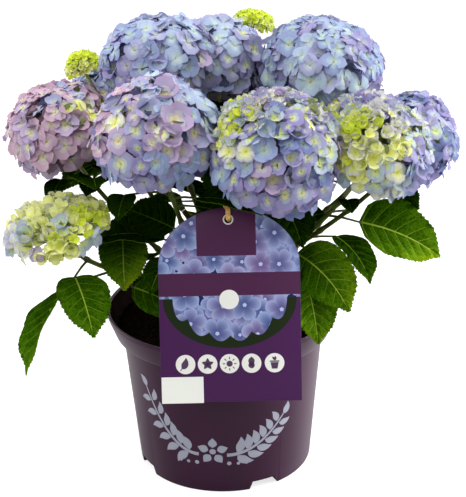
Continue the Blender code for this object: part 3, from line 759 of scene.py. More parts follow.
# %% [markdown]
# ## Soil
# Peat is dark, damp and crumbly. A turned body has its top roughened by noise, and Geometry
# Nodes scatter crumbs over the top, because a thousand small lumps follow one simple rule.

# %% Peat
PEAT_ROUGHNESS = 1.1 * MM
SOIL_RINGS, SOIL_SIDES = 22, 120
peat_look = finish("peat", srgb(26, 19, 14), 0.95, second=srgb(13, 9, 7), scale=260.0,
                   grain=(700.0, 0.0006), gloss=0.0)
crumb_look = finish("peat crumbs", srgb(38, 28, 20), 0.92, second=srgb(15, 11, 9), scale=320.0,
                    gloss=0.0)
edge_radius = BAND_RADIUS - WALL - GAP
foot_radius, shelf = BASE_RADIUS - WALL - GAP - POCKET_DEPTH, POCKET_HEIGHT + 2 * WALL
soil_profile = [(0, WALL + GAP), (foot_radius, WALL + GAP), (foot_radius, shelf),
                (body_radius(shelf) - WALL - GAP, shelf), (inner_neck - GAP, ledge + GAP),
                (edge_radius, ledge + GAP)]
for k in range(SOIL_RINGS):
    share = 1 - k / SOIL_RINGS
    radius = edge_radius * share
    lift = min(1.0, (edge_radius - radius) / (edge_radius - SOIL_FLAT))
    soil_profile.append((radius, SOIL_EDGE + (SOIL_TOP - SOIL_EDGE) * lift))
soil_profile.append((0, SOIL_TOP))
peat = turned("peat", soil_profile, SOIL_SIDES, [peat_look])
rng = random.Random(SEED)
for v in peat.data.vertices:
    if v.co.z > SOIL_EDGE - MM / 2:
        v.co.z += rng.uniform(-2, 0.4) * PEAT_ROUGHNESS
settle(peat, "peat", "soil")

# %% Crumbs by Geometry Nodes


def tree_input(tree, label):
    """The modifier's name for a tree's input."""
    return next(item.identifier for item in tree.interface.items_tree if item.name == label)


def make_crumb_tree(look):
    tree, start, end = new_group(
        "crumbs", (("Geometry", "Geometry"), ("Density", "Float"), ("Smallest", "Float"),
                   ("Largest", "Float"), ("Seed", "Int")),
        (("Geometry", "Geometry"),), "GeometryNodeTree")
    node = tree.nodes.new
    scatter = node("GeometryNodeDistributePointsOnFaces")
    ball = node("GeometryNodeMeshIcoSphere")
    ball.inputs["Radius"].default_value = 1.0
    ball.inputs["Subdivisions"].default_value = 1
    size, turn = node("FunctionNodeRandomValue"), node("FunctionNodeRandomValue")
    size.data_type = turn.data_type = "FLOAT_VECTOR"
    turn.inputs["Max"].default_value = (tau, tau, tau)
    place, realize = node("GeometryNodeInstanceOnPoints"), node("GeometryNodeRealizeInstances")
    paint = node("GeometryNodeSetMaterial")
    paint.inputs["Material"].default_value = look
    wire(tree, (start, "Geometry", scatter, "Mesh"), (start, "Density", scatter, "Density"),
         (start, "Seed", scatter, "Seed"), (start, "Smallest", size, "Min"),
         (start, "Largest", size, "Max"), (scatter, "Points", place, "Points"),
         (ball, "Mesh", place, "Instance"), (turn, "Value", place, "Rotation"),
         (size, "Value", place, "Scale"), (place, "Instances", realize, "Geometry"),
         (realize, "Geometry", paint, "Geometry"), (paint, "Geometry", end, "Geometry"))
    return tree


CRUMB_SETTINGS = {"Density": 52000.0, "Smallest": 0.5 * MM, "Largest": 2.1 * MM, "Seed": SEED}
BED_SIDES, BED_SUNK = 48, 1.2 * MM
# radius of each ring of the bed, and how far it lies under the first
BED_RINGS = ((31 * MM, 0), (SOIL_FLAT + 20 * MM, 1.9 * MM), (edge_radius - 3 * MM, 5.6 * MM))
bed_verts = [(x, y, SOIL_TOP - BED_SUNK - fall) for radius, fall in BED_RINGS
             for x, y in circle((0, 0), radius, BED_SIDES)]
bed_faces = []
for k in range(len(BED_RINGS) - 1):
    a, b = k * BED_SIDES, (k + 1) * BED_SIDES
    for i in range(BED_SIDES):
        j = (i + 1) % BED_SIDES
        bed_faces.append((a + i, b + i, b + j, a + j))
bed = add_piece("crumb_bed", bed_verts, bed_faces, [])
crumb_tree = make_crumb_tree(crumb_look)
scattering = bed.modifiers.new("crumbs", "NODES")
scattering.node_group = crumb_tree
for label, value in CRUMB_SETTINGS.items():
    scattering[tree_input(crumb_tree, label)] = value
settle(evaluated_piece(bed, "peat_crumbs"), "peat")

# %% [markdown]
# ## Woody crown, canes and stems
# The foot of the shrub is a knotty stool with flaking grey-brown bark. Canes rise from it,
# brown and lightly ridged, and turn green where the leaves begin. One helper makes them all: a
# tube along the stem's line whose radius swells at each pair of leaves and ripples with bark.

# %% Tubes with relief
NODE_SWELL = 0.42
NODE_REACH = 0.028
RIDGE_KEPT, RIDGE_NEW = 0.8, 0.45       # a bark ridge's height runs on from ring to ring
# a limb's share of its solid's radius at its root and tip, and its sides, rings and relief
CANE_SLIM, CANE_MESH, CANE_KNOTS = (0.94, 0.96), (12, 30, 0.055), (0.45,)
STEM_SLIM, STEM_MESH = (0.94, 0.94), (10, 44, 0.025)


def wall_faces(rings, sides, closed=False):
    """Faces between rings of corners; a closed wall's last ring meets its first."""
    faces = []
    for k in range(rings if closed else rings - 1):
        a, b = k * sides, (k + 1) % rings * sides
        for i in range(sides):
            j = (i + 1) % sides
            faces.append((a + i, a + j, b + j, b + i))
    return faces


def cap_faces(rings, sides):
    """A face over the first ring and one over the last."""
    return [tuple(range(sides))[::-1], tuple(range((rings - 1) * sides, rings * sides))]


def limb(line, start, end, root, tip, sides, rings, relief, rng, knots=()):
    """A tapered tube with bark ridges and a swelling at each share in knots."""
    verts = []
    side = None
    ridges = [rng.uniform(-1, 1) for _ in range(sides)]
    for k in range(rings + 1):
        share = k / rings
        point, tangent = along(line, start + (end - start) * share)
        side = tangent.orthogonal().normalized() if side is None else side
        side = (side - tangent * side.dot(tangent)).normalized()
        other = tangent.cross(side)
        swell = sum(exp(-((share - knot) / NODE_REACH) ** 2) for knot in knots) * NODE_SWELL
        radius = (root + (tip - root) * share) * (1 + swell)
        for i in range(sides):
            ridges[i] = RIDGE_KEPT * ridges[i] + RIDGE_NEW * rng.uniform(-1, 1)
            angle = 2 * pi * i / sides
            reach = radius * (1 + relief * ridges[i])
            verts.append(point + (side * cos(angle) + other * sin(angle)) * reach)
    return verts, cap_faces(rings + 1, sides) + wall_faces(rings + 1, sides)


bark_look = finish("old bark", srgb(122, 104, 82), 0.85, second=srgb(66, 52, 40), scale=420.0,
                   grain=(800.0, 0.0005), gloss=0.25)
cane_look = finish("cane bark", srgb(66, 60, 30), 0.7, second=srgb(44, 34, 18), scale=240.0,
                   grain=(900.0, 0.0003), gloss=0.1)
stem_look = finish("green stem", srgb(72, 92, 28), 0.55, second=srgb(62, 62, 22), scale=90.0,
                   grain=(700.0, 0.0001), gloss=0.12)

# %% Canes and stems
rng = random.Random(SEED + 1)
canes, green_stems, knots = [], [], [station for station, *_ in PAIRS]
for name, (line, cane_end, shoot_end, _) in stems.items():
    canes.append(limb(line, 0, cane_end, CANE_ROOT * CANE_SLIM[0], CANE_TIP * CANE_SLIM[1],
                      *CANE_MESH, rng, CANE_KNOTS))
    green_stems.append(limb(line, cane_end + GAP, shoot_end, CANE_TIP * STEM_SLIM[0],
                            SHOOT_TIP * STEM_SLIM[1], *STEM_MESH, rng, knots))
settle(add_piece("canes", *gather(canes), [cane_look], sharp=60), "cane bark",
       *(f"cane_{name}" for name in stems))
settle(add_piece("stems", *gather(green_stems), [stem_look], sharp=60), "leaf green")

# %% Woody crown
CROWN_TURN = 80
CROWN_RINGS = 34
BARK_WAVES, BARK_RIDGES, BARK_TWIST, BARK_DEPTH = 9, (3, 19), 90, 0.018


def crown_profile(height):
    """The stool's radius at a height over its foot, flared below and narrowed above."""
    if height < CROWN_FLARE:
        return CROWN_FOOT + (CROWN_WAIST - CROWN_FOOT) * smoothstep(0, CROWN_FLARE, height)
    if height < CROWN_SHOULDER:
        return CROWN_WAIST
    share = (height - CROWN_SHOULDER) / (CROWN_HEIGHT - CROWN_SHOULDER)
    return CROWN_WAIST + (CROWN_TOP - CROWN_WAIST) * share


rng = random.Random(SEED + 2)
waves = [(rng.randint(*BARK_RIDGES), rng.uniform(0, tau), rng.uniform(-BARK_TWIST, BARK_TWIST))
         for _ in range(BARK_WAVES)]
crown_verts = []
shrink = cos(pi / CROWN_SIDES)
for k in range(CROWN_RINGS + 1):
    height = CROWN_HEIGHT * k / CROWN_RINGS
    for i in range(CROWN_TURN):
        angle = tau * i / CROWN_TURN
        ripple = sum(sin(n * angle + a + height * b) / sqrt(n) for n, a, b in waves)
        radius = crown_profile(height) * shrink * (1 - BARK_DEPTH * abs(ripple))
        crown_verts.append((*from_point((0, 0), angle, radius), SOIL_TOP + GAP + height))
crown_faces = wall_faces(CROWN_RINGS + 1, CROWN_TURN) + cap_faces(CROWN_RINGS + 1, CROWN_TURN)
settle(add_piece("woody_stool", crown_verts, crown_faces, [bark_look], sharp=50), "old wood",
       "woody_crown")

# %% [markdown]
# ## Leaves
# A hydrangea leaf is broad, toothed and quilted: it puffs up between its side veins, which
# leave the midrib and bend towards the tip. So the mesh's rows run along those veins. Each vein
# is a narrow strip of faces of its own, sunk between the puffs, with a paler colour. A second
# skin just below closes the blade and carries the duller underside.

# %% Leaf form
# widths, heights and waves are shares of the blade's length
VEIN_PAIRS = 7
ROWS_BETWEEN = 3
COLUMNS = (0.17, 0.38, 0.6, 0.82, 1.0)
VEIN_FORWARD = 0.62
VEIN_BEND = 1.22
VEIN_HALF = 0.0040
MIDRIB_HALF = (0.012, 0.003)
PUFF = 0.022
TOOTH = 0.018
LEAF_SKIN = 0.45 * MM
BLADE_FOLD = radians(14)
PETIOLE_RADIUS, PETIOLE_TAPER = 1.45 * MM, 0.55
SPINE_STEPS = 60
FIRST_VEIN, VEIN_SPAN = 0.035, 0.80
MARGIN_WAVE, WAVES_ALONG = (0.006, 0.016), 15
MIDRIB_RISE, MIDRIB_OUT = 0.003, 0.04


def blade_width(t):
    """Half the blade's width over its length: broad below the middle, drawn out at the tip."""
    if t <= 0 or t >= 1:
        return 0.0
    tail = 1 - 0.42 * smoothstep(0.76, 1.0, t)
    return 0.80 * t ** 0.5 * (1 - t) ** 0.78 * tail


def vein_end(t):
    """Where a side vein that leaves the midrib at t reaches the margin."""
    return t + VEIN_FORWARD * sqrt(t) * (1 - t)


def leaf_rows():
    """The rows as (midrib share, puff, strip): a vein's rows come in pairs, strips -1 and 1."""
    rows = []
    stations = [FIRST_VEIN + VEIN_SPAN * (k / (VEIN_PAIRS - 1)) ** 1.1 for k in range(VEIN_PAIRS)]
    ends = [0.0] + stations + [1.0]
    for k in range(len(ends) - 1):
        for i in range(1, ROWS_BETWEEN + 1):
            share = i / (ROWS_BETWEEN + 1)
            rows.append((ends[k] + (ends[k + 1] - ends[k]) * share, sin(pi * share), 0))
        if k < VEIN_PAIRS:
            rows.append((ends[k + 1], 0.0, -1))
            rows.append((ends[k + 1], 0.0, 1))
    return rows


LEAF_ROWS = leaf_rows()


def grow_blade(root, reach, hang, rng):
    """Corners and faces of a leaf, each face with its part and place (along, out, hand)."""
    (petiole_turn, petiole), (turn, rise, droop, length, roll) = reach, hang
    roll = radians(roll)
    base = root + toward(petiole_turn, rise / 2) * petiole
    side, steps = toward(turn + 90, 0), SPINE_STEPS
    spine = [base.copy()]
    for k in range(steps):
        spine.append(spine[-1] + toward(turn, rise - droop * (k + 0.5) / steps) * length / steps)
    phase, wave = rng.uniform(0, tau), rng.uniform(*MARGIN_WAVE)

    def place(t, across_share, height):
        t = min(1.0, max(0.0, t))
        k = min(steps - 1, int(t * steps))
        point = spine[k].lerp(spine[k + 1], t * steps - k)
        up = toward(turn, rise - droop * t + 90)
        across = side * cos(roll) + up * sin(roll)
        up = up * cos(roll) - side * sin(roll)
        return point + across * across_share * length + up * height * length, up

    def skin_point(t, hand, u, bulge):
        far = vein_end(t)
        here = t + (far - t) * u ** VEIN_BEND
        reach_out = blade_width(far) * u
        lift = reach_out * tan(BLADE_FOLD) * (0.55 + 0.45 * u)
        ripple = wave * u * u * sin(phase + hand + here * WAVES_ALONG)
        puff = bulge * PUFF * sin(pi * min(1, u * 1.08)) ** 0.7
        return here, reach_out, lift + ripple + puff

    verts, faces, parts = [], [], []

    def corner(t, offset, height):
        point, up = place(t, offset, height)
        verts.append(point)
        verts.append(point - up * LEAF_SKIN)
        return len(verts) - 2

    first = corner(0, 0, 0)
    grid = []
    for number, (t, bulge, strip) in enumerate(LEAF_ROWS):
        row = {}
        rib = MIDRIB_HALF[0] + (MIDRIB_HALF[1] - MIDRIB_HALF[0]) * t
        rib = min(rib, blade_width(vein_end(t)) * 0.3)
        shift = strip * VEIN_HALF
        row[0] = corner(t + shift, 0, MIDRIB_RISE)
        for hand in (-1, 1):
            row[hand] = corner(t + shift, hand * rib, 0)
            for column, u in enumerate(COLUMNS):
                here, out, height = skin_point(t, hand, u, bulge)
                here += shift * (1 - 0.7 * u)
                if u == 1.0 and number % 2 and t < 0.97:
                    out += TOOTH * (0.45 + 0.55 * sin(pi * t))
                    here += TOOTH * 0.8
                row[hand * (column + 2)] = corner(here, hand * out, height)
        grid.append(row)
    last = corner(1, 0, 0)
    edge = len(COLUMNS) + 1
    columns = list(range(-edge, edge + 1))
    outs = (0.0, MIDRIB_OUT) + COLUMNS

    def add_face(corners, part, where=(0, 0, 0)):
        faces.append(tuple(corners))
        parts.append((part, where))
        faces.append(tuple(i + 1 for i in reversed(corners)))
        parts.append(("under", where))

    for low, high, (t, _, strip), after in zip(grid, grid[1:], LEAF_ROWS, LEAF_ROWS[1:]):
        is_vein = strip == -1 and after[2] == 1
        for a, b in zip(columns, columns[1:]):
            rib_face = abs(a) <= 1 and abs(b) <= 1
            outer_face = max(abs(a), abs(b)) == edge
            out = (outs[abs(a)] + outs[abs(b)]) / 2
            where = (t + (vein_end(t) - t) * out, out, 1 if a + b > 0 else -1)
            part = "midrib" if rib_face else "vein" if is_vein and not outer_face else "blade"
            add_face((low[b], high[b], high[a], low[a]), part, where)
    for a, b in zip(columns, columns[1:]):
        add_face((first, grid[0][b], grid[0][a]), "blade")
        add_face((last, grid[-1][a], grid[-1][b]), "blade", (1, 0, 0))
    around = [first, *(row[edge] for row in grid), last, *(row[-edge] for row in reversed(grid))]
    for a, b in zip(around, around[1:] + around[:1]):
        faces.append((a, b, b + 1, a + 1))
        parts.append(("under", (0, 0, 0)))
    stalk_line = [root, root.lerp(base, 0.5) + Vector((0, 0, 0.03 * petiole)), base]
    stalk = tube_between(stalk_line + [spine[2]], PETIOLE_RADIUS, PETIOLE_RADIUS * PETIOLE_TAPER)
    return (verts, faces, parts), stalk


def tube_between(points, root, tip, sides=6):
    """A tapered tube through a few points, closed at both ends."""
    verts, side = [], None
    for k, point in enumerate(points):
        way = (points[min(k + 1, len(points) - 1)] - points[max(k - 1, 0)]).normalized()
        side = way.orthogonal().normalized() if side is None else side
        side = (side - way * side.dot(way)).normalized()
        radius = root + (tip - root) * k / (len(points) - 1)
        for i in range(sides):
            angle = tau * i / sides
            out = side * cos(angle) + way.cross(side) * sin(angle)
            verts.append(point + out * radius)
    return verts, cap_faces(len(points), sides) + wall_faces(len(points), sides)


# %% [markdown]
# A leaf is darkest near its midrib and yellows towards its margin and tip. Its tone is a step
# from deep to lime, with a share of a step more or less by a face's place, and each step has a
# vein of its own. The near-black deepest steps are painted shade, and a leaf's own tone and the
# share of its right half paint light and shade on it. A fine net of veinlets dents the skin
# between the side veins.

# %% Leaf colours
NET_SCALE, NET_DEPTH, NET_PALER, NET_LINE = 260.0, 0.00030, 0.15, 0.22


def make_veinlets():
    """A net of cells: the colour a little paler on its lines, and the skin sunk along them."""
    group, start, end = new_group(
        "veinlets", (("Scale", "Float", NET_SCALE), ("Depth", "Float", NET_DEPTH),
                     ("Paler", "Float", NET_PALER), ("Color", "Color"), ("Line", "Color")),
        (("Color", "Color"), ("Normal", "Vector")))
    where, cells, spread_out, share, mix, relief = (group.nodes.new(kind) for kind in (
        "ShaderNodeTexCoord", "ShaderNodeTexVoronoi", "ShaderNodeMapRange", "ShaderNodeMapRange",
        "ShaderNodeMix", "ShaderNodeBump"))
    cells.feature, mix.data_type = "DISTANCE_TO_EDGE", "RGBA"
    spread_out.inputs["From Max"].default_value = NET_LINE
    share.inputs["To Max"].default_value = 0.0
    relief.inputs["Strength"].default_value = 1.0
    wire(group, (where, "Object", cells, "Vector"), (start, "Scale", cells, "Scale"),
         (cells, "Distance", spread_out, "Value"), (spread_out, "Result", share, "Value"),
         (start, "Paler", share, "To Min"), (share, "Result", mix, "Factor"),
         (start, "Color", mix, "A"), (start, "Line", mix, "B"),
         (spread_out, "Result", relief, "Height"), (start, "Depth", relief, "Distance"),
         (mix, "Result", end, "Color"), (relief, "Normal", end, "Normal"))
    return group


veinlets_group = make_veinlets()
# blade and vein, from the deepest step to the yellowest; the near-black deepest steps are painted
# shade
LEAF_ANCHORS = (
    ((10, 26, 1), (34, 60, 6)),
    ((20, 44, 1), (62, 96, 14)),
    ((38, 75, 1), (112, 148, 34)),
    ((66, 107, 2), (158, 184, 62)),
    ((100, 132, 3), (178, 196, 72)),
    ((142, 156, 8), (190, 200, 76)),
)
STEPS_EACH = 2
LEAF_THROUGH = 0.3


def stepped(anchors, steps):
    """The anchors with even steps between them."""
    made = []
    for low, high in zip(anchors, anchors[1:]):
        for k in range(steps):
            made.append(tuple(tuple(a + (b - a) * k / steps for a, b in zip(*pair))
                              for pair in zip(low, high)))
    return made + [anchors[-1]]


LEAF_STEPS = stepped(LEAF_ANCHORS, STEPS_EACH)


def leaf_look(name, blade, vein):
    """The blade's finish: its colour with the net of veinlets over it."""
    look = finish(name, srgb(*blade), 0.5, gloss=0.0)
    shader = look.node_tree.nodes["Principled BSDF"]
    net = add_group(look, veinlets_group, Color=(*srgb(*blade), 1), Line=(*srgb(*vein), 1))
    wire(look.node_tree, (net, "Color", shader, "Base Color"), (net, "Normal", shader, "Normal"))
    let_through(look, LEAF_THROUGH)
    return look


leaf_looks = [leaf_look(f"leaf {k}", blade, vein) for k, (blade, vein) in enumerate(LEAF_STEPS)]
leaf_looks += [finish(f"vein {k}", srgb(*vein), 0.5, gloss=0.0, through=LEAF_THROUGH)
               for k, (_, vein) in enumerate(LEAF_STEPS)]
leaf_looks.append(finish("leaf underside", srgb(92, 120, 26), 0.62, second=srgb(74, 104, 18),
                         scale=90.0, gloss=0.0, through=LEAF_THROUGH))
UNDERSIDE = len(leaf_looks) - 1
# a placed leaf's tone in steps, and what its margin, its tip and its right half add; a low tone
# is painted shade, and the right half's share is painted light and shade on that half
TONES = (
    (1.9, 0.5, 1.7, -0.6), (1.0, 0.4, 1.0, 0.0), (0.6, 0.2, 0.3, 0.0),
    (1.9, 0.6, 1.2, 0.7), (2.2, 0.6, 1.0, 0.0), (0.6, 0.3, 0.3, 0.0),
    (2.0, 0.5, 2.0, 0.5), (0.8, 0.3, 0.6, 0.0), (0.3, 0.2, 0.2, 0.0),
    (0.2, 0.3, 0.4, 0.0), (0.3, 0.2, 0.2, 0.0), (2.0, 0.3, 0.5, 0.0),
    (1.4, 0.4, 1.5, 0.0), (1.4, 0.4, 0.4, 0.0), (0.6, 0.2, 0.2, 0.0),
    (0.2, 0.2, 0.3, 0.0), (0.2, 0.2, 0.3, 0.0),
)
# the paired leaves, inside the crown, take low tones: painted shade
PAIR_TONES = (0.0, 1.0)
TONE_BLUR = 0.12
MIDRIB_PALER = 0.8


def face_look(part, where, tones, rng):
    """The finish of a face, by its part, its place on the blade and its leaf's tones."""
    if part == "under":
        return UNDERSIDE
    tone, margin, tip, right = tones
    along_blade, out, hand = where
    # the leaf's tone and its right half's share paint shade and light; margin and tip add yellowing
    value = tone + margin * out * out + tip * along_blade ** 2 + right * hand * out
    value += {"blade": rng.gauss(0, TONE_BLUR), "vein": 0.0, "midrib": MIDRIB_PALER}[part]
    step = max(0, min(len(LEAF_STEPS) - 1, round(value * STEPS_EACH)))
    return step + (0 if part == "blade" else len(LEAF_STEPS))


# %% Leaf pieces
rng = random.Random(SEED + 3)
blades, leaf_slots, petioles = [], [], []
for number, (_, root, reach, hang, placed) in enumerate(leaves):
    (verts, faces, parts), petiole = grow_blade(root, reach, hang, rng)
    blades.append((verts, faces))
    petioles.append(petiole)
    tones = TONES[number] if placed else (rng.uniform(*PAIR_TONES), 0.3, 0.5, 0.0)
    leaf_slots += [face_look(part, where, tones, rng) for part, where in parts]
leaf_piece = add_piece("leaves", *gather(blades), leaf_looks, leaf_slots, sharp=70)
settle(leaf_piece, "leaf green", *(f"shoot_{name}" for name in stems))
settle(add_piece("petioles", *gather(petioles), [stem_look]), "leaf green")

# %% [markdown]
# ## Flower heads
# A mophead is a ball of florets. Each floret has four broad petals in two crossed pairs round a
# tiny eye, and the colour runs outward in rings: eye, pale throat, inner, limb and rim. Young
# florets are small, cupped and cream; old ones are flat, large and blue or mauve. Six forms are
# modelled once, and Geometry Nodes set them on points that carry each floret's turn, size, form
# and tint.

# %% Floret forms
RING_SHARES = (0.05, 0.30, 0.54, 0.82, 1.0)
PETAL_COLUMNS = (-1.0, -0.52, 0.0, 0.52, 1.0)
PETAL_ROOT = (-1.0, -1.0, 0.0, 0.0, 1.0)    # the first ring's corners, where a petal is narrow
PETAL_HALF = radians(56)
PETAL_NOTCH = 0.29
PAIR_STEP = 0.085
PETAL_SWAY, RUFFLE_WAVE = 0.06, 2.4
EYE_RADIUS, EYE_SIDES, EYE_FOOT, EYE_TOP = 0.085, 5, 0.02, 0.11
ARC_STEPS = 20
# name, slope of a petal at the eye and at its rim in degrees, edge lift, ruffle, uneven length,
# roundness of its tip
FORMS = (
    ("open", 18, -6, 0.07, 0.10, 0.12, 1.5),
    ("saucer", 12, 44, -0.06, 0.08, 0.11, 1.6),
    ("arched", 30, -34, -0.06, 0.10, 0.12, 1.35),
    ("ruffled", 24, 4, 0.12, 0.18, 0.16, 1.4),
    ("cupped", 22, 64, -0.06, 0.07, 0.10, 1.9),
    ("closed", 40, 88, -0.04, 0.04, 0.08, 2.4),
)
OPEN, SAUCER, ARCHED, RUFFLED, CUPPED, CLOSED = range(len(FORMS))
RING_NAMES = ("eye", "throat", "inner", "limb", "rim")
EYE_BAND, THROAT_BAND = 0, 1


def petal_arc(first, last):
    """Reach and height along a petal's middle, for a floret that spans one unit from its eye."""
    reach, height, arc = 0.0, 0.0, [(0.0, 0.0)]
    for k in range(ARC_STEPS):
        slope = radians(first + (last - first) * (k + 0.5) / ARC_STEPS)
        reach, height = reach + cos(slope) / ARC_STEPS, height + sin(slope) / ARC_STEPS
        arc.append((reach, height))
    widest = max(reach for reach, _ in arc)
    return [(reach / widest, height / widest) for reach, height in arc]


def arc_at(arc, share):
    """Reach and height at a share of a petal's middle."""
    step = min(ARC_STEPS - 1, int(share * ARC_STEPS))
    t = share * ARC_STEPS - step
    return tuple(a + (b - a) * t for a, b in zip(arc[step], arc[step + 1]))


def floret_form(first, last, edge, ruffle, uneven, round_tip, rng):
    """Corners, faces and each face's ring for a floret of radius 1 that faces +Z."""
    arc = petal_arc(first, last)
    verts, faces, rings = [], [], []
    columns = len(PETAL_COLUMNS)
    for petal in range(4):
        heading = petal * pi / 2 + rng.uniform(-PETAL_SWAY, PETAL_SWAY)
        length = 1 + rng.uniform(-uneven, uneven)
        phase, pair = rng.uniform(0, tau), (-1) ** petal
        base = len(verts)
        for share in RING_SHARES:
            for c in PETAL_COLUMNS if share > RING_SHARES[0] else PETAL_ROOT:
                along_it = share * (1 - PETAL_NOTCH * abs(c) ** round_tip) * length
                reach, height = arc_at(arc, min(1.0, along_it))
                height += pair * PAIR_STEP * share + edge * c * c * share
                height += ruffle * share ** 2 * sin(RUFFLE_WAVE * c + phase)
                angle = heading + c * PETAL_HALF
                verts.append((reach * cos(angle), reach * sin(angle), height))
        for i in (0, 2):
            a = base + i
            faces.append((a, a + columns, a + columns + 1, a + columns + 2, a + 2))
            rings.append(THROAT_BAND)
        for k in range(1, len(RING_SHARES) - 1):
            for i in range(columns - 1):
                a = base + k * columns + i
                faces.append((a, a + columns, a + columns + 1, a + 1))
                rings.append(k + 1)
    top = len(verts)
    verts.append((0, 0, EYE_TOP))
    for k in range(EYE_SIDES):
        verts.append((*from_point((0, 0), tau * k / EYE_SIDES, EYE_RADIUS), EYE_FOOT))
        faces.append((top, top + 1 + k, top + 1 + (k + 1) % EYE_SIDES))
        rings.append(EYE_BAND)
    return verts, faces, rings


rng = random.Random(SEED + 4)
form_shelf = bpy.data.collections.new("floret_forms")
for number, (name, *shape) in enumerate(FORMS):
    verts, faces, rings = floret_form(*shape, rng)
    mesh = bpy.data.meshes.new(f"form_{number}_{name}")
    mesh.from_pydata(verts, [], faces)
    mesh.attributes.new("ring", "INT", "FACE").data.foreach_set("value", rings)
    mesh.shade_smooth()
    form_shelf.objects.link(bpy.data.objects.new(mesh.name, mesh))
    print(name, "faces:", len(faces))

# %% [markdown]
# The tints are plain base colours, one for each ring of each tint, so that a floret keeps its
# rings wherever the model goes.

# %% Petal tints
TINTS = {
    # tint: eye, throat, inner, limb, rim
    "blue": ((164, 176, 110), (182, 198, 188), (166, 184, 204), (148, 166, 200), (152, 158, 196)),
    "sky": ((178, 192, 128), (200, 214, 208), (188, 204, 218), (174, 192, 216), (174, 184, 212)),
    "aqua": ((184, 198, 130), (206, 220, 206), (192, 212, 216), (178, 200, 214), (180, 192, 214)),
    # deep is a darker blue; it paints shade, most of all low on the front-right head and over the
    # far-right one
    "deep": ((130, 144, 94), (152, 168, 166), (132, 148, 182), (114, 128, 172), (122, 128, 174)),
    "haze": ((158, 162, 110), (190, 196, 196), (180, 186, 204), (166, 172, 204), (168, 166, 202)),
    "plum": ((144, 144, 100), (178, 178, 188), (166, 164, 196), (152, 150, 192), (158, 148, 192)),
    "lilac": ((196, 198, 96), (218, 222, 166), (188, 194, 194), (160, 166, 198), (166, 158, 196)),
    "violet": ((186, 188, 92), (208, 212, 160), (174, 178, 190), (146, 146, 188), (154, 140, 186)),
    "mauve": ((196, 190, 104), (220, 214, 172), (196, 188, 194), (176, 164, 194), (184, 160, 192)),
    "pink": ((196, 182, 116), (222, 210, 186), (208, 192, 202), (200, 174, 196), (204, 168, 190)),
    "dusty": ((180, 172, 108), (208, 200, 172), (194, 178, 184), (186, 160, 180), (192, 160, 178)),
    "young": ((208, 210, 66), (236, 240, 134), (234, 238, 176), (220, 224, 196), (202, 198, 208)),
    "cream": ((210, 212, 54), (238, 242, 110), (240, 242, 142), (236, 240, 160), (226, 228, 174)),
    "lime": ((196, 206, 28), (222, 234, 50), (226, 238, 72), (220, 232, 80), (210, 222, 92)),
    "jade": ((192, 200, 70), (224, 232, 146), (204, 218, 180), (182, 200, 200), (176, 182, 206)),
    # The last three tints are painted shade: darker blue, mauve and green copies for florets deep
    # in a head and for its shaded patches.
    "shade": ((84, 92, 60), (116, 122, 116), (98, 106, 130), (84, 92, 126), (90, 90, 128)),
    "dusk": ((90, 88, 50), (126, 118, 98), (114, 102, 108), (108, 90, 106), (112, 88, 104)),
    "moss": ((132, 138, 40), (166, 174, 84), (156, 166, 94), (142, 154, 92), (136, 144, 104)),
}
TINT_NAMES = list(TINTS)
PETAL_ROUGHNESS, PETAL_GRAIN, PETAL_GLOSS, PETAL_THROUGH = 0.62, (620.0, 0.00012), 0.15, 0.3
petal_looks = [finish(f"{tint} {ring}", srgb(*colour), PETAL_ROUGHNESS, grain=PETAL_GRAIN,
                      gloss=PETAL_GLOSS, through=PETAL_THROUGH)
               for tint, colours in TINTS.items() for ring, colour in zip(RING_NAMES, colours)]
print("petal finishes:", len(petal_looks))

# %% [markdown]
# Each head has zones: a place on the head as it is met from the front, the florets' size there,
# and the forms and tints that grow there. A floret belongs to the zone that it is nearest to.

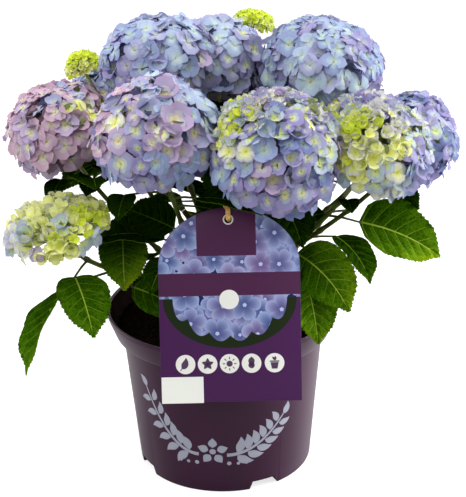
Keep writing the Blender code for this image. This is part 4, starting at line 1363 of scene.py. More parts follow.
# %% Zones
AGED = (OPEN, ARCHED, ARCHED, SAUCER, RUFFLED)
SOFT = (SAUCER, ARCHED, CUPPED, OPEN)
YOUNG = (CUPPED, CUPPED, SAUCER, CLOSED)
FRONT_WAY, UP_WAY = Vector((0, -0.924, 0.383)), Vector((0, 0.383, 0.924))
ZONES = {
    # head: (right, up, floret radius in mm, forms, tints) ...
    "front_right": (
        (-0.1, 0.9, 4.6, YOUNG, "young jade lilac violet mauve"),
        # the darkest green tint among these young florets is painted shade
        (0.45, 0.8, 5.0, YOUNG, "young jade lilac moss"),
        (-0.6, 0.65, 5.2, YOUNG, "cream lime young jade"),
        (-0.05, 0.6, 6.4, SOFT, "young violet jade lilac"),
        (0.6, 0.45, 6.6, SOFT, "young jade lilac violet"),
        (-0.8, 0.3, 7.0, SOFT, "jade cream young"),
        (-0.1, 0.3, 9.4, SOFT, "lilac jade deep violet"),
        (-0.55, 0.1, 9.6, SOFT, "jade blue lilac young"),
        (-0.8, -0.3, 12.4, AGED, "blue lilac blue"),
        (0.0, 0.0, 12.0, SOFT, "lilac violet mauve"),
        (-0.3, -0.4, 14.2, AGED, "mauve violet violet"),
        (0.4, 0.0, 10.6, SOFT, "lilac young violet"),
        (0.75, 0.0, 10.6, AGED, "mauve lilac jade"),
        # the lowest zones take the darker deep tint: painted shade under the head
        (0.3, -0.5, 13.2, AGED, "violet lilac deep"),
        (0.75, -0.5, 13.4, AGED, "deep lilac violet"),
        (0.1, -0.85, 13.8, AGED, "violet deep plum"),
        (0.6, -0.85, 14.0, AGED, "blue deep deep")),
    "front_left": (
        (0.35, 0.75, 9.4, AGED, "aqua sky haze"),
        (0.75, 0.4, 11.4, AGED, "aqua sky blue"),
        (-0.55, 0.7, 9.4, AGED, "pink mauve haze"),
        (-0.75, 0.3, 11.6, AGED, "pink mauve young"),
        (0.0, 0.4, 12.0, SOFT, "mauve haze mauve"),
        (-0.35, 0.15, 11.2, SOFT, "mauve young lilac"),
        (0.0, 0.05, 9.8, SOFT, "young mauve lilac"),
        (0.3, 0.0, 10.4, SOFT, "young lilac mauve"),
        (0.65, -0.1, 15.0, AGED, "lilac mauve haze"),
        (-0.75, -0.25, 12.2, AGED, "mauve violet mauve"),
        (-0.6, -0.65, 14.0, AGED, "blue plum lilac"),
        (-0.15, -0.35, 9.4, SOFT, "lilac violet lilac"),
        (0.25, -0.4, 10.2, SOFT, "violet lilac mauve"),
        (0.05, -0.8, 12.0, AGED, "plum violet blue"),
        (0.5, -0.75, 14.6, AGED, "blue mauve lilac")),
    "left": (
        (-0.1, 0.15, 14.2, AGED, "dusty dusty mauve"),
        (0.45, 0.2, 10.0, SOFT, "cream young dusty"),
        (0.15, -0.25, 12.4, AGED, "dusty dusty mauve"),
        (-0.5, -0.5, 12.4, AGED, "dusty mauve dusty"),
        (0.5, -0.6, 14.0, AGED, "dusty pink dusty"),
        (-0.7, 0.4, 11.0, AGED, "dusty mauve"),
        (0.1, 0.8, 9.6, AGED, "dusty pink haze")),
    "right": (
        (-0.65, 0.45, 5.2, YOUNG, "lime lime cream"),
        (-0.2, 0.8, 4.8, YOUNG, "young jade violet"),
        (0.35, 0.7, 5.0, YOUNG, "young jade lilac"),
        (-0.2, 0.3, 5.8, YOUNG, "young cream cream lime"),
        (0.25, 0.2, 6.4, YOUNG, "cream young young"),
        (0.75, 0.4, 7.2, SOFT, "jade young haze"),
        (-0.7, -0.05, 6.6, YOUNG, "cream lime young"),
        (-0.25, -0.25, 7.6, YOUNG, "young cream young"),
        (0.3, -0.25, 8.0, SOFT, "young jade cream"),
        (-0.6, -0.6, 10.0, SOFT, "jade aqua young"),
        (0.1, -0.7, 9.8, SOFT, "jade young jade"),
        (0.75, -0.2, 9.6, SOFT, "haze plum lilac"),
        (0.7, -0.65, 11.0, SOFT, "blue plum haze")),
    "far_right": (
        # this head takes mostly the darker deep and plum tints and a dark green one: painted shade
        (0.3, 0.5, 9.6, AGED, "plum deep haze"),
        (0.3, 0.0, 10.4, AGED, "deep jade plum"),
        (-0.4, -0.1, 9.6, SOFT, "blue moss jade"),
        (0.5, -0.5, 12.0, AGED, "deep plum deep")),
    "top_left": (
        (0.1, 0.6, 10.4, AGED, "blue sky haze"),
        (-0.6, 0.2, 11.8, AGED, "blue plum haze"),
        (0.1, 0.1, 12.8, AGED, "blue haze sky"),
        (0.75, -0.2, 13.4, AGED, "mauve haze blue"),
        (-0.2, -0.5, 13.4, AGED, "mauve plum blue")),
    "top_middle": (
        (-0.1, 0.6, 10.4, AGED, "sky haze aqua"),
        (0.3, 0.0, 12.6, AGED, "haze sky lilac"),
        (-0.5, 0.0, 12.4, AGED, "mauve haze blue"),
        (0.0, -0.6, 13.4, AGED, "blue plum haze")),
    "top_right": (
        (0.0, 0.75, 9.0, AGED, "blue haze sky"),
        (-0.7, 0.4, 10.0, AGED, "plum blue haze"),
        (-0.3, 0.2, 12.8, AGED, "aqua sky blue"),
        (0.3, 0.3, 11.4, AGED, "blue aqua haze"),
        (0.7, 0.2, 11.6, AGED, "haze blue plum"),
        (-0.3, -0.3, 14.6, AGED, "aqua blue haze"),
        (0.3, -0.4, 13.6, AGED, "blue haze aqua"),
        (0.8, -0.4, 12.8, AGED, "plum blue haze")),
    "low_left": (
        (0.0, 0.85, 6.0, YOUNG, "cream young cream"),
        (-0.5, 0.5, 6.6, YOUNG, "cream young cream"),
        (0.6, 0.5, 5.8, YOUNG, "cream lime cream"),
        (0.1, 0.3, 9.6, YOUNG, "jade young"),
        (-0.35, 0.1, 7.2, YOUNG, "cream young cream"),
        (0.35, 0.1, 4.8, YOUNG, "lime cream cream"),
        (0.0, -0.25, 8.0, YOUNG, "cream cream young"),
        (0.3, -0.35, 5.4, YOUNG, "lime cream lime"),
        (-0.7, -0.1, 9.4, YOUNG, "jade young young"),
        (-0.85, 0.25, 6.4, YOUNG, "cream young"),
        (0.85, 0.1, 6.4, YOUNG, "cream lime cream"),
        (-0.45, -0.5, 9.8, SOFT, "mauve jade young"),
        (0.15, -0.6, 7.4, YOUNG, "cream young cream"),
        (0.7, -0.25, 9.8, YOUNG, "jade lilac jade")),
    "bud": (
        (0.0, 0.5, 3.6, (CUPPED, SAUCER), "lime"),
        (0.0, -0.5, 4.0, YOUNG, "lime cream")),
    "behind": (
        (-0.5, 0.4, 12.4, AGED, "blue sky haze"),
        (0.5, 0.2, 12.8, AGED, "haze plum mauve"),
        (0.0, -0.6, 13.0, AGED, "blue mauve deep")),
}
# The painted-shade tint that a floret takes deep inside its head
INNER_TINTS = {"dusty": "dusk", "pink": "dusk", "young": "moss", "cream": "moss", "lime": "moss",
               "jade": "moss"}
ZONE_BLUR = 0.16
SPACING = {"full": 0.52, "loose": 0.50, "bud": 0.54}
OUTER_DEPTH, INNER_DEPTH = (0.94, 1.0), (0.82, 0.90)
INNER_COUNT = {"full": 70, "loose": 40, "bud": 20}
FLORET_TILT = radians(11)
FACE_UP = 0.62              # how far a floret low on its head turns its face up
# Deep florets that take a dark tint are painted shade inside the head.
INNER_SHARE, INNER_GROWTH = 0.6, 1.05   # share of deep florets that take a dark tint; their size
SINK, SINK_CUP = 0.12, 0.6
# how far a head's surface swells and dips, in how many waves, and how tight these are
LUMP, LUMP_WAVES, LUMP_TURN = 0.035, 4, 5
# Heads whose florets fill out toward their neighbours: (shift in mm, growth)
SWELLS = {"front_left": ((2, 0, 5), 1.09), "top_middle": ((-3, -6, -7), 1.16),
          "top_right": ((-4, 0, 0), 1.03), "left": ((3, 0, 0), 1.02), "back": ((4, 0, 4), 1.06),
          "back_right": ((-6, 0, 4), 1.06), "top_left": ((9, 0, -1), 1.16),
          "right": ((-4, 0, 3), 1.14), "far_right": ((-5, 0, -3), 1.08),
          "low_left": ((1, 0, 3), 1.03)}
# A head that stands straighter than its stem, and heads that are flatter than their solids
UPRIGHT = {"low_left": 0.9}
SQUASH = {"low_left": 0.52, "front_left": 0.9, "right": 0.86, "top_left": 0.88}
FLORET_SIZES = (0.80, 1.2)
CANDIDATES = 2600
COVERS = {"full": COVER, "loose": radians(106), "bud": COVER}
FORM_MARGIN = 0.17


def facing(right, up):
    """The direction from a head's middle to a place on its front."""
    out = sqrt(max(0.0, 1 - right * right - up * up))
    return (Vector((1, 0, 0)) * right + UP_WAY * up + FRONT_WAY * out).normalized()


def spiral(count, cover):
    """Directions spread evenly over a cap of the given half angle round +Z."""
    golden = pi * (3 - sqrt(5))
    for k in range(count):
        z = 1 - (k + 0.5) / count * (1 - cos(cover))
        ring = sqrt(max(0.0, 1 - z * z))
        yield Vector((ring * cos(k * golden), ring * sin(k * golden), z))


def rim_height(form):
    """How high a petal's rim stands, for a floret of radius 1."""
    return petal_arc(*FORMS[form][1:3])[-1][1]


def held_in_box(place, normal, size, form):
    """The place, drawn in where a floret there would reach past the solids' box."""
    tall = rim_height(form) + FORM_MARGIN
    held = []
    for low, high, value, slope in zip(*cad_box, place, normal):
        wide = size * sqrt(max(0.0, 1 - slope * slope)) * (1 + FORM_MARGIN)
        up, down = size * max(0.0, slope) * tall, size * max(0.0, -slope) * tall
        held.append(min(max(value, low + wide + down), high - wide - up))
    return Vector(held)


def head_florets(name, centre, radius, flat, kind, rng):
    """Each floret as (place, normal, radius, form, tint)."""
    zones = ZONES["bud" if kind == "bud" else name if name in ZONES else "behind"]
    zones = [(facing(right, up), *rest) for right, up, *rest in zones]
    axis = head_axis(centre) + Vector((0, 0, UPRIGHT.get(name, 0.0)))
    turn = axis.to_track_quat("Z", "Y").to_matrix()
    spots = list(spiral(CANDIDATES, COVERS[kind]))
    rng.shuffle(spots)
    flat *= SQUASH.get(name, 1.0)
    waves = [(Vector([rng.uniform(-LUMP_TURN, LUMP_TURN) for _ in range(3)]),
              rng.uniform(0, tau)) for _ in range(LUMP_WAVES)]
    taken, florets = [], []

    def grow(spot, depth, shrink, shaded):
        way = turn @ spot
        blurred = way + Vector([rng.gauss(0, ZONE_BLUR) for _ in range(3)])
        _, size, forms, tints = max(zones, key=lambda zone: zone[0].dot(blurred))
        size = size * MM * shrink * rng.uniform(*FLORET_SIZES)
        form = rng.choice(forms)
        sink = size * (SINK + rim_height(form) * SINK_CUP)
        lump = sum(sin(way.dot(wave) + phase) for wave, phase in waves)
        depth *= 1 - LUMP + LUMP * lump / LUMP_WAVES ** 0.5
        local = Vector((spot.x, spot.y, spot.z * flat)) * (radius - sink) * depth
        normal = turn @ Vector((spot.x, spot.y, spot.z / flat)).normalized()
        normal.z += FACE_UP * (1 - normal.z) / 2
        normal = (normal + Vector([rng.gauss(0, FLORET_TILT) for _ in range(3)])).normalized()
        tint = rng.choice(tints.split())
        # a share of the deep florets take a darker tint: painted shade inside the head
        if shaded and rng.random() < INNER_SHARE:
            tint = INNER_TINTS.get(tint, "shade")
        return held_in_box(centre + turn @ local, normal, size, form), normal, size, form, tint

    for spot in spots:
        floret = grow(spot, rng.uniform(*OUTER_DEPTH), 1.0, False)
        place, _, size, _, _ = floret
        if all((place - other).length > (size + reach) * SPACING[kind] for other, reach in taken):
            taken.append((place, size))
            florets.append(floret)
    for spot in spiral(INNER_COUNT[kind], COVERS[kind]):
        florets.append(grow(spot, rng.uniform(*INNER_DEPTH), INNER_GROWTH, True))
    return florets


rng = random.Random(SEED + 5)
florets_of = {}
for name, centre, radius, flat, kind, _ in HEADS:
    shift, swell = SWELLS.get(name, ((0, 0, 0), 1.0))
    middle = (Vector(centre) + Vector(shift)) * MM
    florets_of[name] = head_florets(name, middle, radius * swell * MM, flat, kind, rng)
print("florets:", {name: len(florets) for name, florets in florets_of.items()})

# %% [markdown]
# The tree takes a mesh of bare points. Each point picks its form from the shelf, turns and
# scales it, and hands it a tint; the realized faces then get the finish of their tint and ring.

# %% Florets by Geometry Nodes


def make_floret_tree(tints):
    """The tree that sets forms on points and paints each ring of each tint."""
    tree, start, end = new_group(
        "florets", (("Points", "Geometry"), ("Forms", "Collection"), ("Overall Size", "Float")),
        (("Geometry", "Geometry"),), "GeometryNodeTree")
    node = tree.nodes.new

    def named(attribute, kind, target, slot):
        """Feeds a point's attribute to an input."""
        reader = node("GeometryNodeInputNamedAttribute")
        reader.data_type = kind
        reader.inputs["Name"].default_value = attribute
        wire(tree, (reader, "Attribute", target, slot))

    shelf, place = node("GeometryNodeCollectionInfo"), node("GeometryNodeInstanceOnPoints")
    shelf.inputs["Separate Children"].default_value = True
    shelf.inputs["Reset Children"].default_value = True
    place.inputs["Pick Instance"].default_value = True
    whole, code = node("ShaderNodeMath"), node("ShaderNodeMath")
    whole.operation, code.operation = "MULTIPLY", "MULTIPLY_ADD"
    code.inputs[1].default_value = len(RING_NAMES)
    made = node("GeometryNodeRealizeInstances")
    wire(tree, (start, "Forms", shelf, "Collection"), (start, "Points", place, "Points"),
         (shelf, "Instances", place, "Instance"), (start, "Overall Size", whole, 1),
         (whole, 0, place, "Scale"), (place, "Instances", made, "Geometry"))
    named("form", "INT", place, "Instance Index")
    named("turn", "FLOAT_VECTOR", place, "Rotation")
    named("size", "FLOAT", whole, 0)
    named("tint", "INT", code, 0)
    named("ring", "INT", code, 2)
    codes = [tint * len(RING_NAMES) + ring for tint in tints for ring in range(len(RING_NAMES))]
    for number in codes:
        chosen, paint = node("FunctionNodeCompare"), node("GeometryNodeSetMaterial")
        chosen.data_type, chosen.operation = "INT", "EQUAL"
        chosen.inputs[3].default_value = number
        paint.inputs["Material"].default_value = petal_looks[number]
        wire(tree, (code, 0, chosen, "A"), (chosen, "Result", paint, "Selection"),
             (made, "Geometry", paint, "Geometry"))
        made = paint
    wire(tree, (made, "Geometry", end, "Geometry"))
    return tree


def floret_piece(name, florets):
    """One plain mesh of all the given florets."""
    mesh = bpy.data.meshes.new(name)
    mesh.from_pydata([tuple(f[0]) for f in florets], [], [])
    turns = []
    for _, normal, _, _, _ in florets:
        spin = Matrix.Rotation(rng.uniform(0, tau), 3, "Z")
        turns += (normal.to_track_quat("Z", "Y").to_matrix() @ spin).to_euler()
    mesh.attributes.new("turn", "FLOAT_VECTOR", "POINT").data.foreach_set("vector", turns)
    codes = [TINT_NAMES.index(f[4]) for f in florets]
    for label, kind, values in (("size", "FLOAT", [f[2] for f in florets]),
                                ("form", "INT", [f[3] for f in florets]), ("tint", "INT", codes)):
        mesh.attributes.new(label, kind, "POINT").data.foreach_set("value", values)
    source = bpy.data.objects.new(name, mesh)
    scene.collection.objects.link(source)
    tree = make_floret_tree(sorted(set(codes)))
    growth = source.modifiers.new("florets", "NODES")
    growth.node_group = tree
    for label, value in (("Forms", form_shelf), ("Overall Size", 1.0)):
        growth[tree_input(tree, label)] = value
    piece = evaluated_piece(source, name)
    for attribute in ("ring", "tint", "form", "size", "turn"):
        if attribute in piece.data.attributes:
            piece.data.attributes.remove(piece.data.attributes[attribute])
    return piece


FLORET_PIECES = {
    "florets_front": ("front_right", "front_left", "low_left"),
    "florets_right": ("right", "far_right", "rear_right", "back_right"),
    "florets_top": ("top_left", "top_middle", "top_right"),
    "florets_left": ("left", "back_left", "back"),
}
BUD_HEADS = ("bud_left", "bud_middle")
for piece_name, heads in FLORET_PIECES.items():
    piece = floret_piece(piece_name, [f for head in heads for f in florets_of[head]])
    settle(piece, "lilac petals", *(f"bloom_{head}" for head in heads))
piece = floret_piece("florets_bud", [f for head in BUD_HEADS for f in florets_of[head]])
settle(piece, "bud green", *(f"bloom_{head}" for head in BUD_HEADS))
for form in list(form_shelf.objects):
    bpy.data.objects.remove(form, do_unlink=True)
bpy.data.collections.remove(form_shelf)

# %% [markdown]
# Under the florets the stem divides into rays, and every floret has its own thin stalk. They
# fill the head with pale green lines wherever it is open.

# %% Rays and stalks
FORK_DEPTH, RAY_SHARE, RAY_RISE = 0.35, 0.42, 0.3
STALK_RADIUS, STALK_ROOT, STALK_END = 0.45 * MM, 1.7, 0.04
NECK_SLIM, NECK_MESH = (0.94, 0.9), (8, 8, 0.02)
ray_look = finish("flower stalks", srgb(150, 168, 96), 0.55, second=srgb(132, 128, 96),
                  scale=120.0, gloss=0.35)
rng = random.Random(SEED + 6)
stalks = []
for name, centre_mm, radius_mm, flat, kind, _ in HEADS:
    line, _, shoot_end, length = stems[name]
    centre, thin = Vector(centre_mm) * MM, STALK_RADIUS * (0.5 if kind == "bud" else 1.0)
    below = centre - head_axis(centre) * radius_mm * MM * flat * FORK_DEPTH
    stalks.append(limb(line, shoot_end + GAP, length, SHOOT_TIP * NECK_SLIM[0],
                       NECK_TIP * NECK_SLIM[1], *NECK_MESH, rng))
    for place, normal, size, _, _ in florets_of[name]:
        knee = below.lerp(place, RAY_SHARE) + (centre - below) * RAY_RISE
        points = [below, knee, place - normal * size * STALK_END]
        stalks.append(tube_between(points, thin * STALK_ROOT, thin, 3))
settle(add_piece("flower_stalks", *gather(stalks), [ray_look]), "bud green")

# %% [markdown]
# ## Tag and tie
# A big arched label of laminated card leans on the pot's rim. Its print is a picture field of
# flowers over an oval, crossed by bands and plain marks. The print is one shader group that
# reads the card's own millimetres, so every edge stays crisp; the sticker, the ring round the
# hole and the small signs are thin shapes of their own.

# %% Tag card
TAG_WIDTH, TAG_HEIGHT, TAG_ARCH, TAG_THICK = 131 * MM, 182 * MM, 55 * MM, 1.2 * MM
TAG_TILT, TAG_MIDDLE, TAG_FOOT = radians(15), 8 * MM, 122 * MM
HOLE_DEPTH, HOLE_RADIUS, HOLE_SIDES = 11 * MM, 3.4 * MM, 28
HOLE_MIDDLE = (0, (TAG_HEIGHT - HOLE_DEPTH) / MM)
ARCH_STEPS = 56
TAG_EDGE = 0.35 * MM

tag_up = Vector((0, sin(TAG_TILT), cos(TAG_TILT)))
tag_out = Vector((0, -cos(TAG_TILT), sin(TAG_TILT)))
tag_foot = Vector((TAG_MIDDLE, -sqrt(RIM_RADIUS ** 2 - TAG_MIDDLE ** 2), POT_HEIGHT - LIP / 2))
tag_foot += tag_out * GAP
tag_foot -= tag_up * ((tag_foot.z - TAG_FOOT) / tag_up.z)


def on_tag(across, up, out=0.0):
    """A place on the card, given in millimetres across, up and out from its back."""
    return tag_foot + (Vector((1, 0, 0)) * across + tag_up * up + tag_out * out) * MM


def arch_outline(inset=0.0):
    """The card's outline in millimetres: a flat foot under an arch."""
    half, height = TAG_WIDTH / MM / 2 - inset, TAG_HEIGHT / MM - inset
    arch = TAG_ARCH / MM - inset * 0.6
    outline = [(-half, inset), (half, inset)]
    for k in range(ARCH_STEPS + 1):
        angle = pi * k / ARCH_STEPS
        outline.append((half * cos(angle), height - arch * (1 - sin(angle))))
    return outline


def card_mesh():
    """The card's skin: front, back, rounded edge and the wall of the hole."""
    made = bmesh.new()
    thick, edge = TAG_THICK / MM, TAG_EDGE / MM
    rings = [[made.verts.new(on_tag(x, y, out)) for x, y in arch_outline(inset)]
             for inset, out in ((edge, 0), (0, edge), (0, thick - edge), (edge, thick))]
    holes = [[made.verts.new(on_tag(x, y, out))
              for x, y in circle(HOLE_MIDDLE, HOLE_RADIUS / MM, HOLE_SIDES)] for out in (0, thick)]
    for low, high in list(zip(rings, rings[1:])) + [(holes[1], holes[0])]:
        for k in range(len(low)):
            j = (k + 1) % len(low)
            made.faces.new((low[k], low[j], high[j], high[k]))
    for ring, hole in ((rings[0], holes[0]), (rings[-1], holes[1])):
        edges = [made.edges.get((loop[k], loop[(k + 1) % len(loop)])) for loop in (ring, hole)
                 for k in range(len(loop))]
        bmesh.ops.triangle_fill(made, use_beauty=True, use_dissolve=False, edges=edges)
    bmesh.ops.recalc_face_normals(made, faces=made.faces)
    mesh = bpy.data.meshes.new("tag_card")
    made.to_mesh(mesh)
    made.free()
    return mesh


# %% [markdown]
# The print is worked out with small sums on the card's millimetres: an oval for the picture, a
# bar for each band and circles for the marks. Flowers of five petals come from a Voronoi
# pattern: each cell's middle is a flower, and the angle round it draws the petals.

# %% The print's shader group
OVAL = (0.0, 98.0, 62.0, 47.0)      # its middle and half sizes
BAND = (100.3, 121.6)
PANEL = (-29.6, 25.2, 137.4)        # left, right and low edge
DISCS = ((-0.6, 96.6), (-42.3, 36.2), (-21.8, 36.2), (-1.4, 36.2), (19.0, 36.2), (40.4, 36.2))
DISC_RADIUS = 9.1
# shift, spacing and reach of each layer of flowers
FLOWER_LAYERS = ((130.0, 17.0, 11.5), (37.0, 21.0, 13.0), (71.0, 27.0, 15.5))
FLOWER_EYE, FLOWER_RANDOM, SHIFT_UP = 0.13, 0.75, 0.7
LOBE_POWER, LOBE_DEPTH, LOBE_START = 0.45, 0.42, 0.58
LEAF_WAVE, LEAF_WAVE_DEPTH, LEAF_START = 0.16, 0.2, 0.56
PLUM, PURPLE = srgb(74, 36, 70), srgb(68, 30, 77)
PAPER, LEAF_SHADE = srgb(232, 232, 226), srgb(26, 38, 14)
SKY_PRINT, DEEP_PRINT, PALE_PRINT = srgb(90, 114, 178), srgb(30, 34, 84), srgb(176, 192, 226)
ROSE_PRINT = srgb(150, 116, 176)


class Sums:
    """Short spellings for the node sums of one tree: sums.add(a, b) is a math node set to ADD."""

    def __init__(self, tree):
        self.tree = tree

    def __getattr__(self, name):
        return lambda *values: self.math(name.upper(), *values)

    def math(self, operation, *values):
        node = self.tree.nodes.new("ShaderNodeMath")
        node.operation = operation
        for socket, value in zip(node.inputs, values):
            if isinstance(value, (int, float)):
                socket.default_value = value
            else:
                self.tree.links.new(value, socket)
        return node.outputs[0]

    def squares(self, first, second):
        """The sum of two squares."""
        return self.add(self.multiply(first, first),
                         self.multiply(second, second))

    def inside(self, value, low, high):
        """1 between two limits and 0 elsewhere."""
        above = self.greater_than(value, low)
        return self.multiply(above, self.less_than(value, high))

    def mix(self, factor, first, second):
        node = self.tree.nodes.new("ShaderNodeMix")
        node.data_type = "RGBA"
        for label, value in (("Factor", factor), ("A", first), ("B", second)):
            if isinstance(value, tuple):
                node.inputs[label].default_value = (*value, 1.0)
            elif isinstance(value, (int, float)):
                node.inputs[label].default_value = value
            else:
                self.tree.links.new(value, node.inputs[label])
        return node.outputs["Result"]


def flower_layer(sums, across, up, shift, spacing, reach):
    """A mask of five-petalled flowers, how far out each spot is, and a number for each flower."""
    tree = sums.tree
    place = tree.nodes.new("ShaderNodeCombineXYZ")
    x, y = sums.add(across, shift), sums.add(up, shift * SHIFT_UP)
    tree.links.new(x, place.inputs["X"])
    tree.links.new(y, place.inputs["Y"])
    cells = tree.nodes.new("ShaderNodeTexVoronoi")
    cells.voronoi_dimensions = "2D"
    cells.inputs["Scale"].default_value = 1 / spacing
    cells.inputs["Randomness"].default_value = FLOWER_RANDOM
    middle, split = (tree.nodes.new(f"ShaderNodeSeparate{kind}") for kind in ("XYZ", "Color"))
    wire(tree, (place, "Vector", cells, "Vector"), (cells, "Position", middle, "Vector"),
         (cells, "Color", split, "Color"))
    right = sums.subtract(x, middle.outputs["X"])
    high = sums.subtract(y, middle.outputs["Y"])
    distance = sums.divide(sums.sqrt(sums.squares(right, high)), reach)
    number = split.outputs["Red"]
    angle = sums.add(sums.arctan2(high, right), sums.multiply(number, 6.3))
    lobes = sums.absolute(sums.cosine(sums.multiply(angle, 2.5)))
    outline = sums.multiply_add(sums.power(lobes, LOBE_POWER), LOBE_DEPTH, LOBE_START)
    return sums.less_than(distance, outline), sums.divide(distance, outline), number


def make_print_group():
    group, start, end = new_group(
        "tag_print", (("Across", "Float", 0.0), ("Up", "Float", 0.0)),
        (("Color", "Color"), ("Mask", "Float")))
    sums = Sums(group)
    across, up = start.outputs["Across"], start.outputs["Up"]
    picture = DEEP_PRINT
    for layer in FLOWER_LAYERS:
        mask, share, number = flower_layer(sums, across, up, *layer)
        petal = sums.mix(number, SKY_PRINT, ROSE_PRINT)
        petal = sums.mix(sums.power(share, 2.0), sums.mix(0.55, petal, DEEP_PRINT),
                         sums.mix(0.6, petal, PALE_PRINT))
        petal = sums.mix(sums.less_than(share, FLOWER_EYE), petal, PALE_PRINT)
        picture = sums.mix(mask, picture, petal)
    low = sums.less_than(up, OVAL[1])
    right = sums.divide(sums.subtract(across, OVAL[0]), OVAL[2])
    high = sums.divide(sums.subtract(up, OVAL[1]), OVAL[3])
    oval = sums.squares(right, high)
    wave = sums.absolute(sums.sine(sums.multiply(across, LEAF_WAVE)))
    wavy = sums.multiply_add(wave, LEAF_WAVE_DEPTH, LEAF_START)
    picture = sums.mix(sums.multiply(low, sums.greater_than(oval, wavy)), picture, LEAF_SHADE)
    colour = sums.mix(sums.multiply(low, sums.greater_than(oval, 1.0)), picture, PURPLE)
    panel = sums.multiply(sums.inside(across, *PANEL[:2]), sums.greater_than(up, PANEL[2]))
    colour = sums.mix(sums.maximum(panel, sums.inside(up, *BAND)), colour, PLUM)
    for x, y in DISCS:
        far = sums.squares(sums.subtract(across, x), sums.subtract(up, y))
        colour = sums.mix(sums.less_than(far, DISC_RADIUS ** 2), colour, PAPER)
    for result, label in ((colour, "Color"), (oval, "Mask")):
        group.links.new(result, end.inputs[label])
    return group


def make_tag_look():
    """Laminated card: the print on its front, plain purple behind and on its edge."""
    made = finish("tag card", PURPLE, 0.4, grain=(60.0, 0.0003), gloss=0.12)
    tree, shader = made.node_tree, made.node_tree.nodes["Principled BSDF"]
    where, card = tree.nodes.new("ShaderNodeTexCoord"), tree.nodes.new("ShaderNodeMapping")
    card.vector_type = "TEXTURE"
    card.inputs["Location"].default_value = tag_foot
    card.inputs["Rotation"].default_value = (pi / 2 - TAG_TILT, 0, 0)
    card.inputs["Scale"].default_value = (MM, MM, MM)
    split = tree.nodes.new("ShaderNodeSeparateXYZ")
    print_node = tree.nodes.new("ShaderNodeGroup")
    print_node.node_tree = make_print_group()
    wire(tree, (where, "Object", card, "Vector"), (card, "Vector", split, "Vector"),
         (split, "X", print_node, "Across"), (split, "Y", print_node, "Up"))
    sums = Sums(tree)
    front = sums.greater_than(split.outputs["Z"], TAG_THICK / MM - 0.05)
    colour = sums.mix(front, PURPLE, print_node.outputs["Color"])
    tree.links.new(colour, shader.inputs["Base Color"])
    return made


tag_mesh = card_mesh()
tag_mesh.materials.append(make_tag_look())
tag_mesh.set_sharp_from_angle(angle=radians(50))
tag_card = bpy.data.objects.new("tag_card", tag_mesh)
scene.collection.objects.link(tag_card)
settle(tag_card, "tag card", "tag")

# %% Sticker, hole ring and signs
STICKER = (-65.0, -26.0, -0.6, 24.4)
STICKER_THICK, SIGN_LIFT = 0.25, 0.05
SIGN_TURNS = 8
card_face = TAG_THICK / MM
paper_look = finish("sticker paper", srgb(228, 230, 222), 0.55, grain=(500.0, 0.00004))
ring_look = finish("hole ring", srgb(214, 208, 204), 0.45, grain=(500.0, 0.00003))
sign_look = finish("sign print", srgb(70, 44, 76), 0.4, grain=(500.0, 0.00002))

left, right, low, high = STICKER
sticker_verts = [on_tag(x, y, card_face + 0.02 + out)
                 for inset, out in ((0, 0), (0.15, STICKER_THICK))
                 for x, y in ((left + inset, low + inset), (right - inset, low + inset),
                              (right - inset, high - inset), (left + inset, high - inset))]
sticker_faces = [(4, 5, 6, 7), (3, 2, 1, 0)] + wall_faces(2, 4)
settle(add_piece("sticker", sticker_verts, sticker_faces, [paper_look], smooth=False), "tag card")

RING_PROFILE = ((0.1, 0.02), (0.15, 0.3), (0.75, 0.42), (1.35, 0.3), (1.5, 0.02))
ring_verts = []
for k in range(HOLE_SIDES):
    for beyond, out in RING_PROFILE:
        place = from_point(HOLE_MIDDLE, tau * k / HOLE_SIDES, HOLE_RADIUS / MM + beyond)
        ring_verts.append(on_tag(*place, card_face + out))
ring_faces = wall_faces(HOLE_SIDES, len(RING_PROFILE), closed=True)
settle(add_piece("hole_ring", ring_verts, ring_faces, [ring_look]), "tag card")


def sun_sign(x, y):
    rays = [flat_ribbon([from_point((x, y), tau * k / SIGN_TURNS, r) for r in (4.2, 6.4)],
                        (0.45, 0.45)) for k in range(SIGN_TURNS)]
    return [flat_dot((x, y), 2.9)] + rays


def leaf_sign(x, y):
    return [flat_leaf((x - 3.6, y - 4.2), 0.95, 11.4, 3.2),
            flat_ribbon([(x - 5, y - 6), (x - 3.2, y - 3.8)], (0.4, 0.4))]


def drop_sign(x, y):
    return [flat_leaf((x, y + 6.2), -pi / 2, 9.6, 3.0, bend=0.0), flat_dot((x, y - 1.8), 3.0)]


def flower_sign(x, y):
    petals = [flat_leaf((x, y), tau * k / 5 + 0.3, 5.8, 1.8, bend=0.0) for k in range(5)]
    return petals + [flat_dot((x, y), 1.5)]


def pot_sign(x, y):
    return [flat_ribbon([(x, y - 5.5), (x, y + 0.6)], (2.6, 3.8)),
            flat_ribbon([(x, y + 1.0), (x, y + 2.2)], (4.4, 4.4)),
            flat_leaf((x, y + 2.4), 1.2, 4.2, 1.1), flat_leaf((x, y + 2.4), 1.95, 4.2, 1.1)]


SIGNS = (leaf_sign, flower_sign, sun_sign, drop_sign, pot_sign)
signs = [shape for sign, spot in zip(SIGNS, DISCS[1:]) for shape in sign(*spot)]
sign_verts, sign_faces = gather(signs)
sign_verts = [on_tag(x, y, card_face + SIGN_LIFT) for x, y in sign_verts]
settle(add_piece("tag_signs", sign_verts, sign_faces, [sign_look], smooth=False), "tag card")

# %% [markdown]
# The tie is a flat strip of straw-coloured raffia, bent into a loop through the hole and round
# the nearest flower's stem.

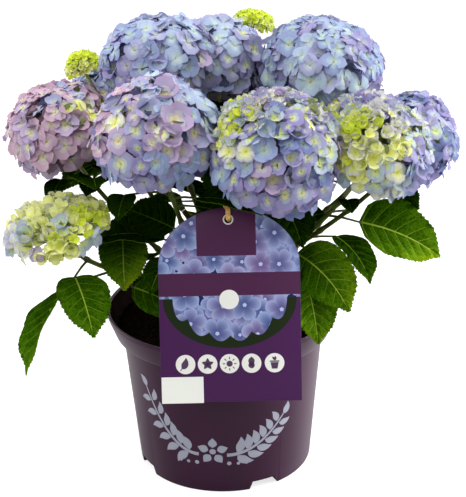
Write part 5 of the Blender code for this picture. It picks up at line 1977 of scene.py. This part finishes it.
# %% Tie
TIE_HALF_WIDTH, TIE_HALF_THICK = 2.2 * MM, 0.5 * MM
TIE_HEAD, TIE_ABOVE, TIE_RADIUS, TIE_SLACK = "front_right", 11 * MM, 1.3 * MM, 1.2 * MM
TIE_FRONT = ((0, 0, 0), (0, 3, 3.4), (0, 2.8, 9), (0, 0, 15))
TIE_BACK = ((12, -7, 6), (0, -3.6, -0.6))
TIE_STEPS, TIE_SIDES = 8, 12
straw_look = finish("straw tie", srgb(232, 190, 112), 0.75, second=srgb(204, 154, 84), scale=500.0,
                    grain=(900.0, 0.0003), gloss=0.25)
line, _, shoot_end, _ = stems[TIE_HEAD]
neck = along(line, shoot_end + TIE_ABOVE)[0]
hole = on_tag(*HOLE_MIDDLE, TAG_THICK / MM / 2)
right, back = Vector((1, 0, 0)), Vector((0, 1, 0))
front_knots, back_knots = ([hole + (right * x + tag_out * y + tag_up * z) * MM for x, y, z in knots]
                           for knots in (TIE_FRONT, TIE_BACK))
clear = SHOOT_TIP + TIE_RADIUS + TIE_SLACK
round_stem = [neck - back * clear - right * 2 * MM, neck + right * clear, neck + back * clear]
knots = front_knots + round_stem + back_knots
tie_line = []
for k in range(len(knots)):
    a, b, c, d = (knots[(k + i) % len(knots)] for i in (-1, 0, 1, 2))
    for i in range(TIE_STEPS):
        t = i / TIE_STEPS
        tie_line.append(0.5 * (2 * b + (c - a) * t + (2 * a - 5 * b + 4 * c - d) * t * t
                               + (3 * b - a - 3 * c + d) * t ** 3))
middle = sum(tie_line, Vector()) / len(tie_line)
rng = random.Random(SEED + 7)
fibres = [rng.uniform(0.85, 1.15) for _ in range(TIE_SIDES)]
tie_verts = []
for k, point in enumerate(tie_line):
    way = (tie_line[(k + 1) % len(tie_line)] - tie_line[k - 1]).normalized()
    in_front = k < len(TIE_FRONT) * TIE_STEPS
    flat_way = right - way * right.dot(way) if in_front else way.cross(point - middle)
    flat_way = flat_way.normalized()
    if k and flat_way.dot(last_way) < 0:
        flat_way = -flat_way
    flat_way = flat_way if not k else (flat_way + last_way * 2).normalized()
    last_way, thin_way = flat_way, way.cross(flat_way)
    for i in range(TIE_SIDES):
        angle = tau * i / TIE_SIDES
        tie_verts.append(point + flat_way * cos(angle) * TIE_HALF_WIDTH
                         + thin_way * sin(angle) * TIE_HALF_THICK * fibres[i])
tie_faces = wall_faces(len(tie_line), TIE_SIDES, closed=True)
settle(add_piece("tie", tie_verts, tie_faces, [straw_look]), "straw tie", "tag_tie")

# %% [markdown]
# ## Floor
# The floor is a plain pale sheet that isn't part of the plant.

# %% Floor
FLOOR_HALF = 6.0
FLOOR_GLOW = 0.72
floor_look = finish("floor", (0.4, 0.4, 0.4), 0.9, gloss=0.0)
seen = floor_look.node_tree.nodes.new("ShaderNodeLightPath")
glow = floor_look.node_tree.nodes.new("ShaderNodeMath")
glow.operation = "MULTIPLY"
glow.inputs[1].default_value = FLOOR_GLOW
floor_shader = floor_look.node_tree.nodes["Principled BSDF"]
floor_shader.inputs["Emission Color"].default_value = (1, 1, 1, 1)
wire(floor_look.node_tree, (seen, "Is Camera Ray", glow, 0),
     (glow, 0, floor_shader, "Emission Strength"))
floor = add_piece("floor", [(-FLOOR_HALF, -FLOOR_HALF, 0), (FLOOR_HALF, -FLOOR_HALF, 0),
                            (FLOOR_HALF, FLOOR_HALF, 0), (-FLOOR_HALF, FLOOR_HALF, 0)],
                  [(0, 1, 2, 3)], [floor_look], smooth=False)

# %% Finish
print("the scene is built")
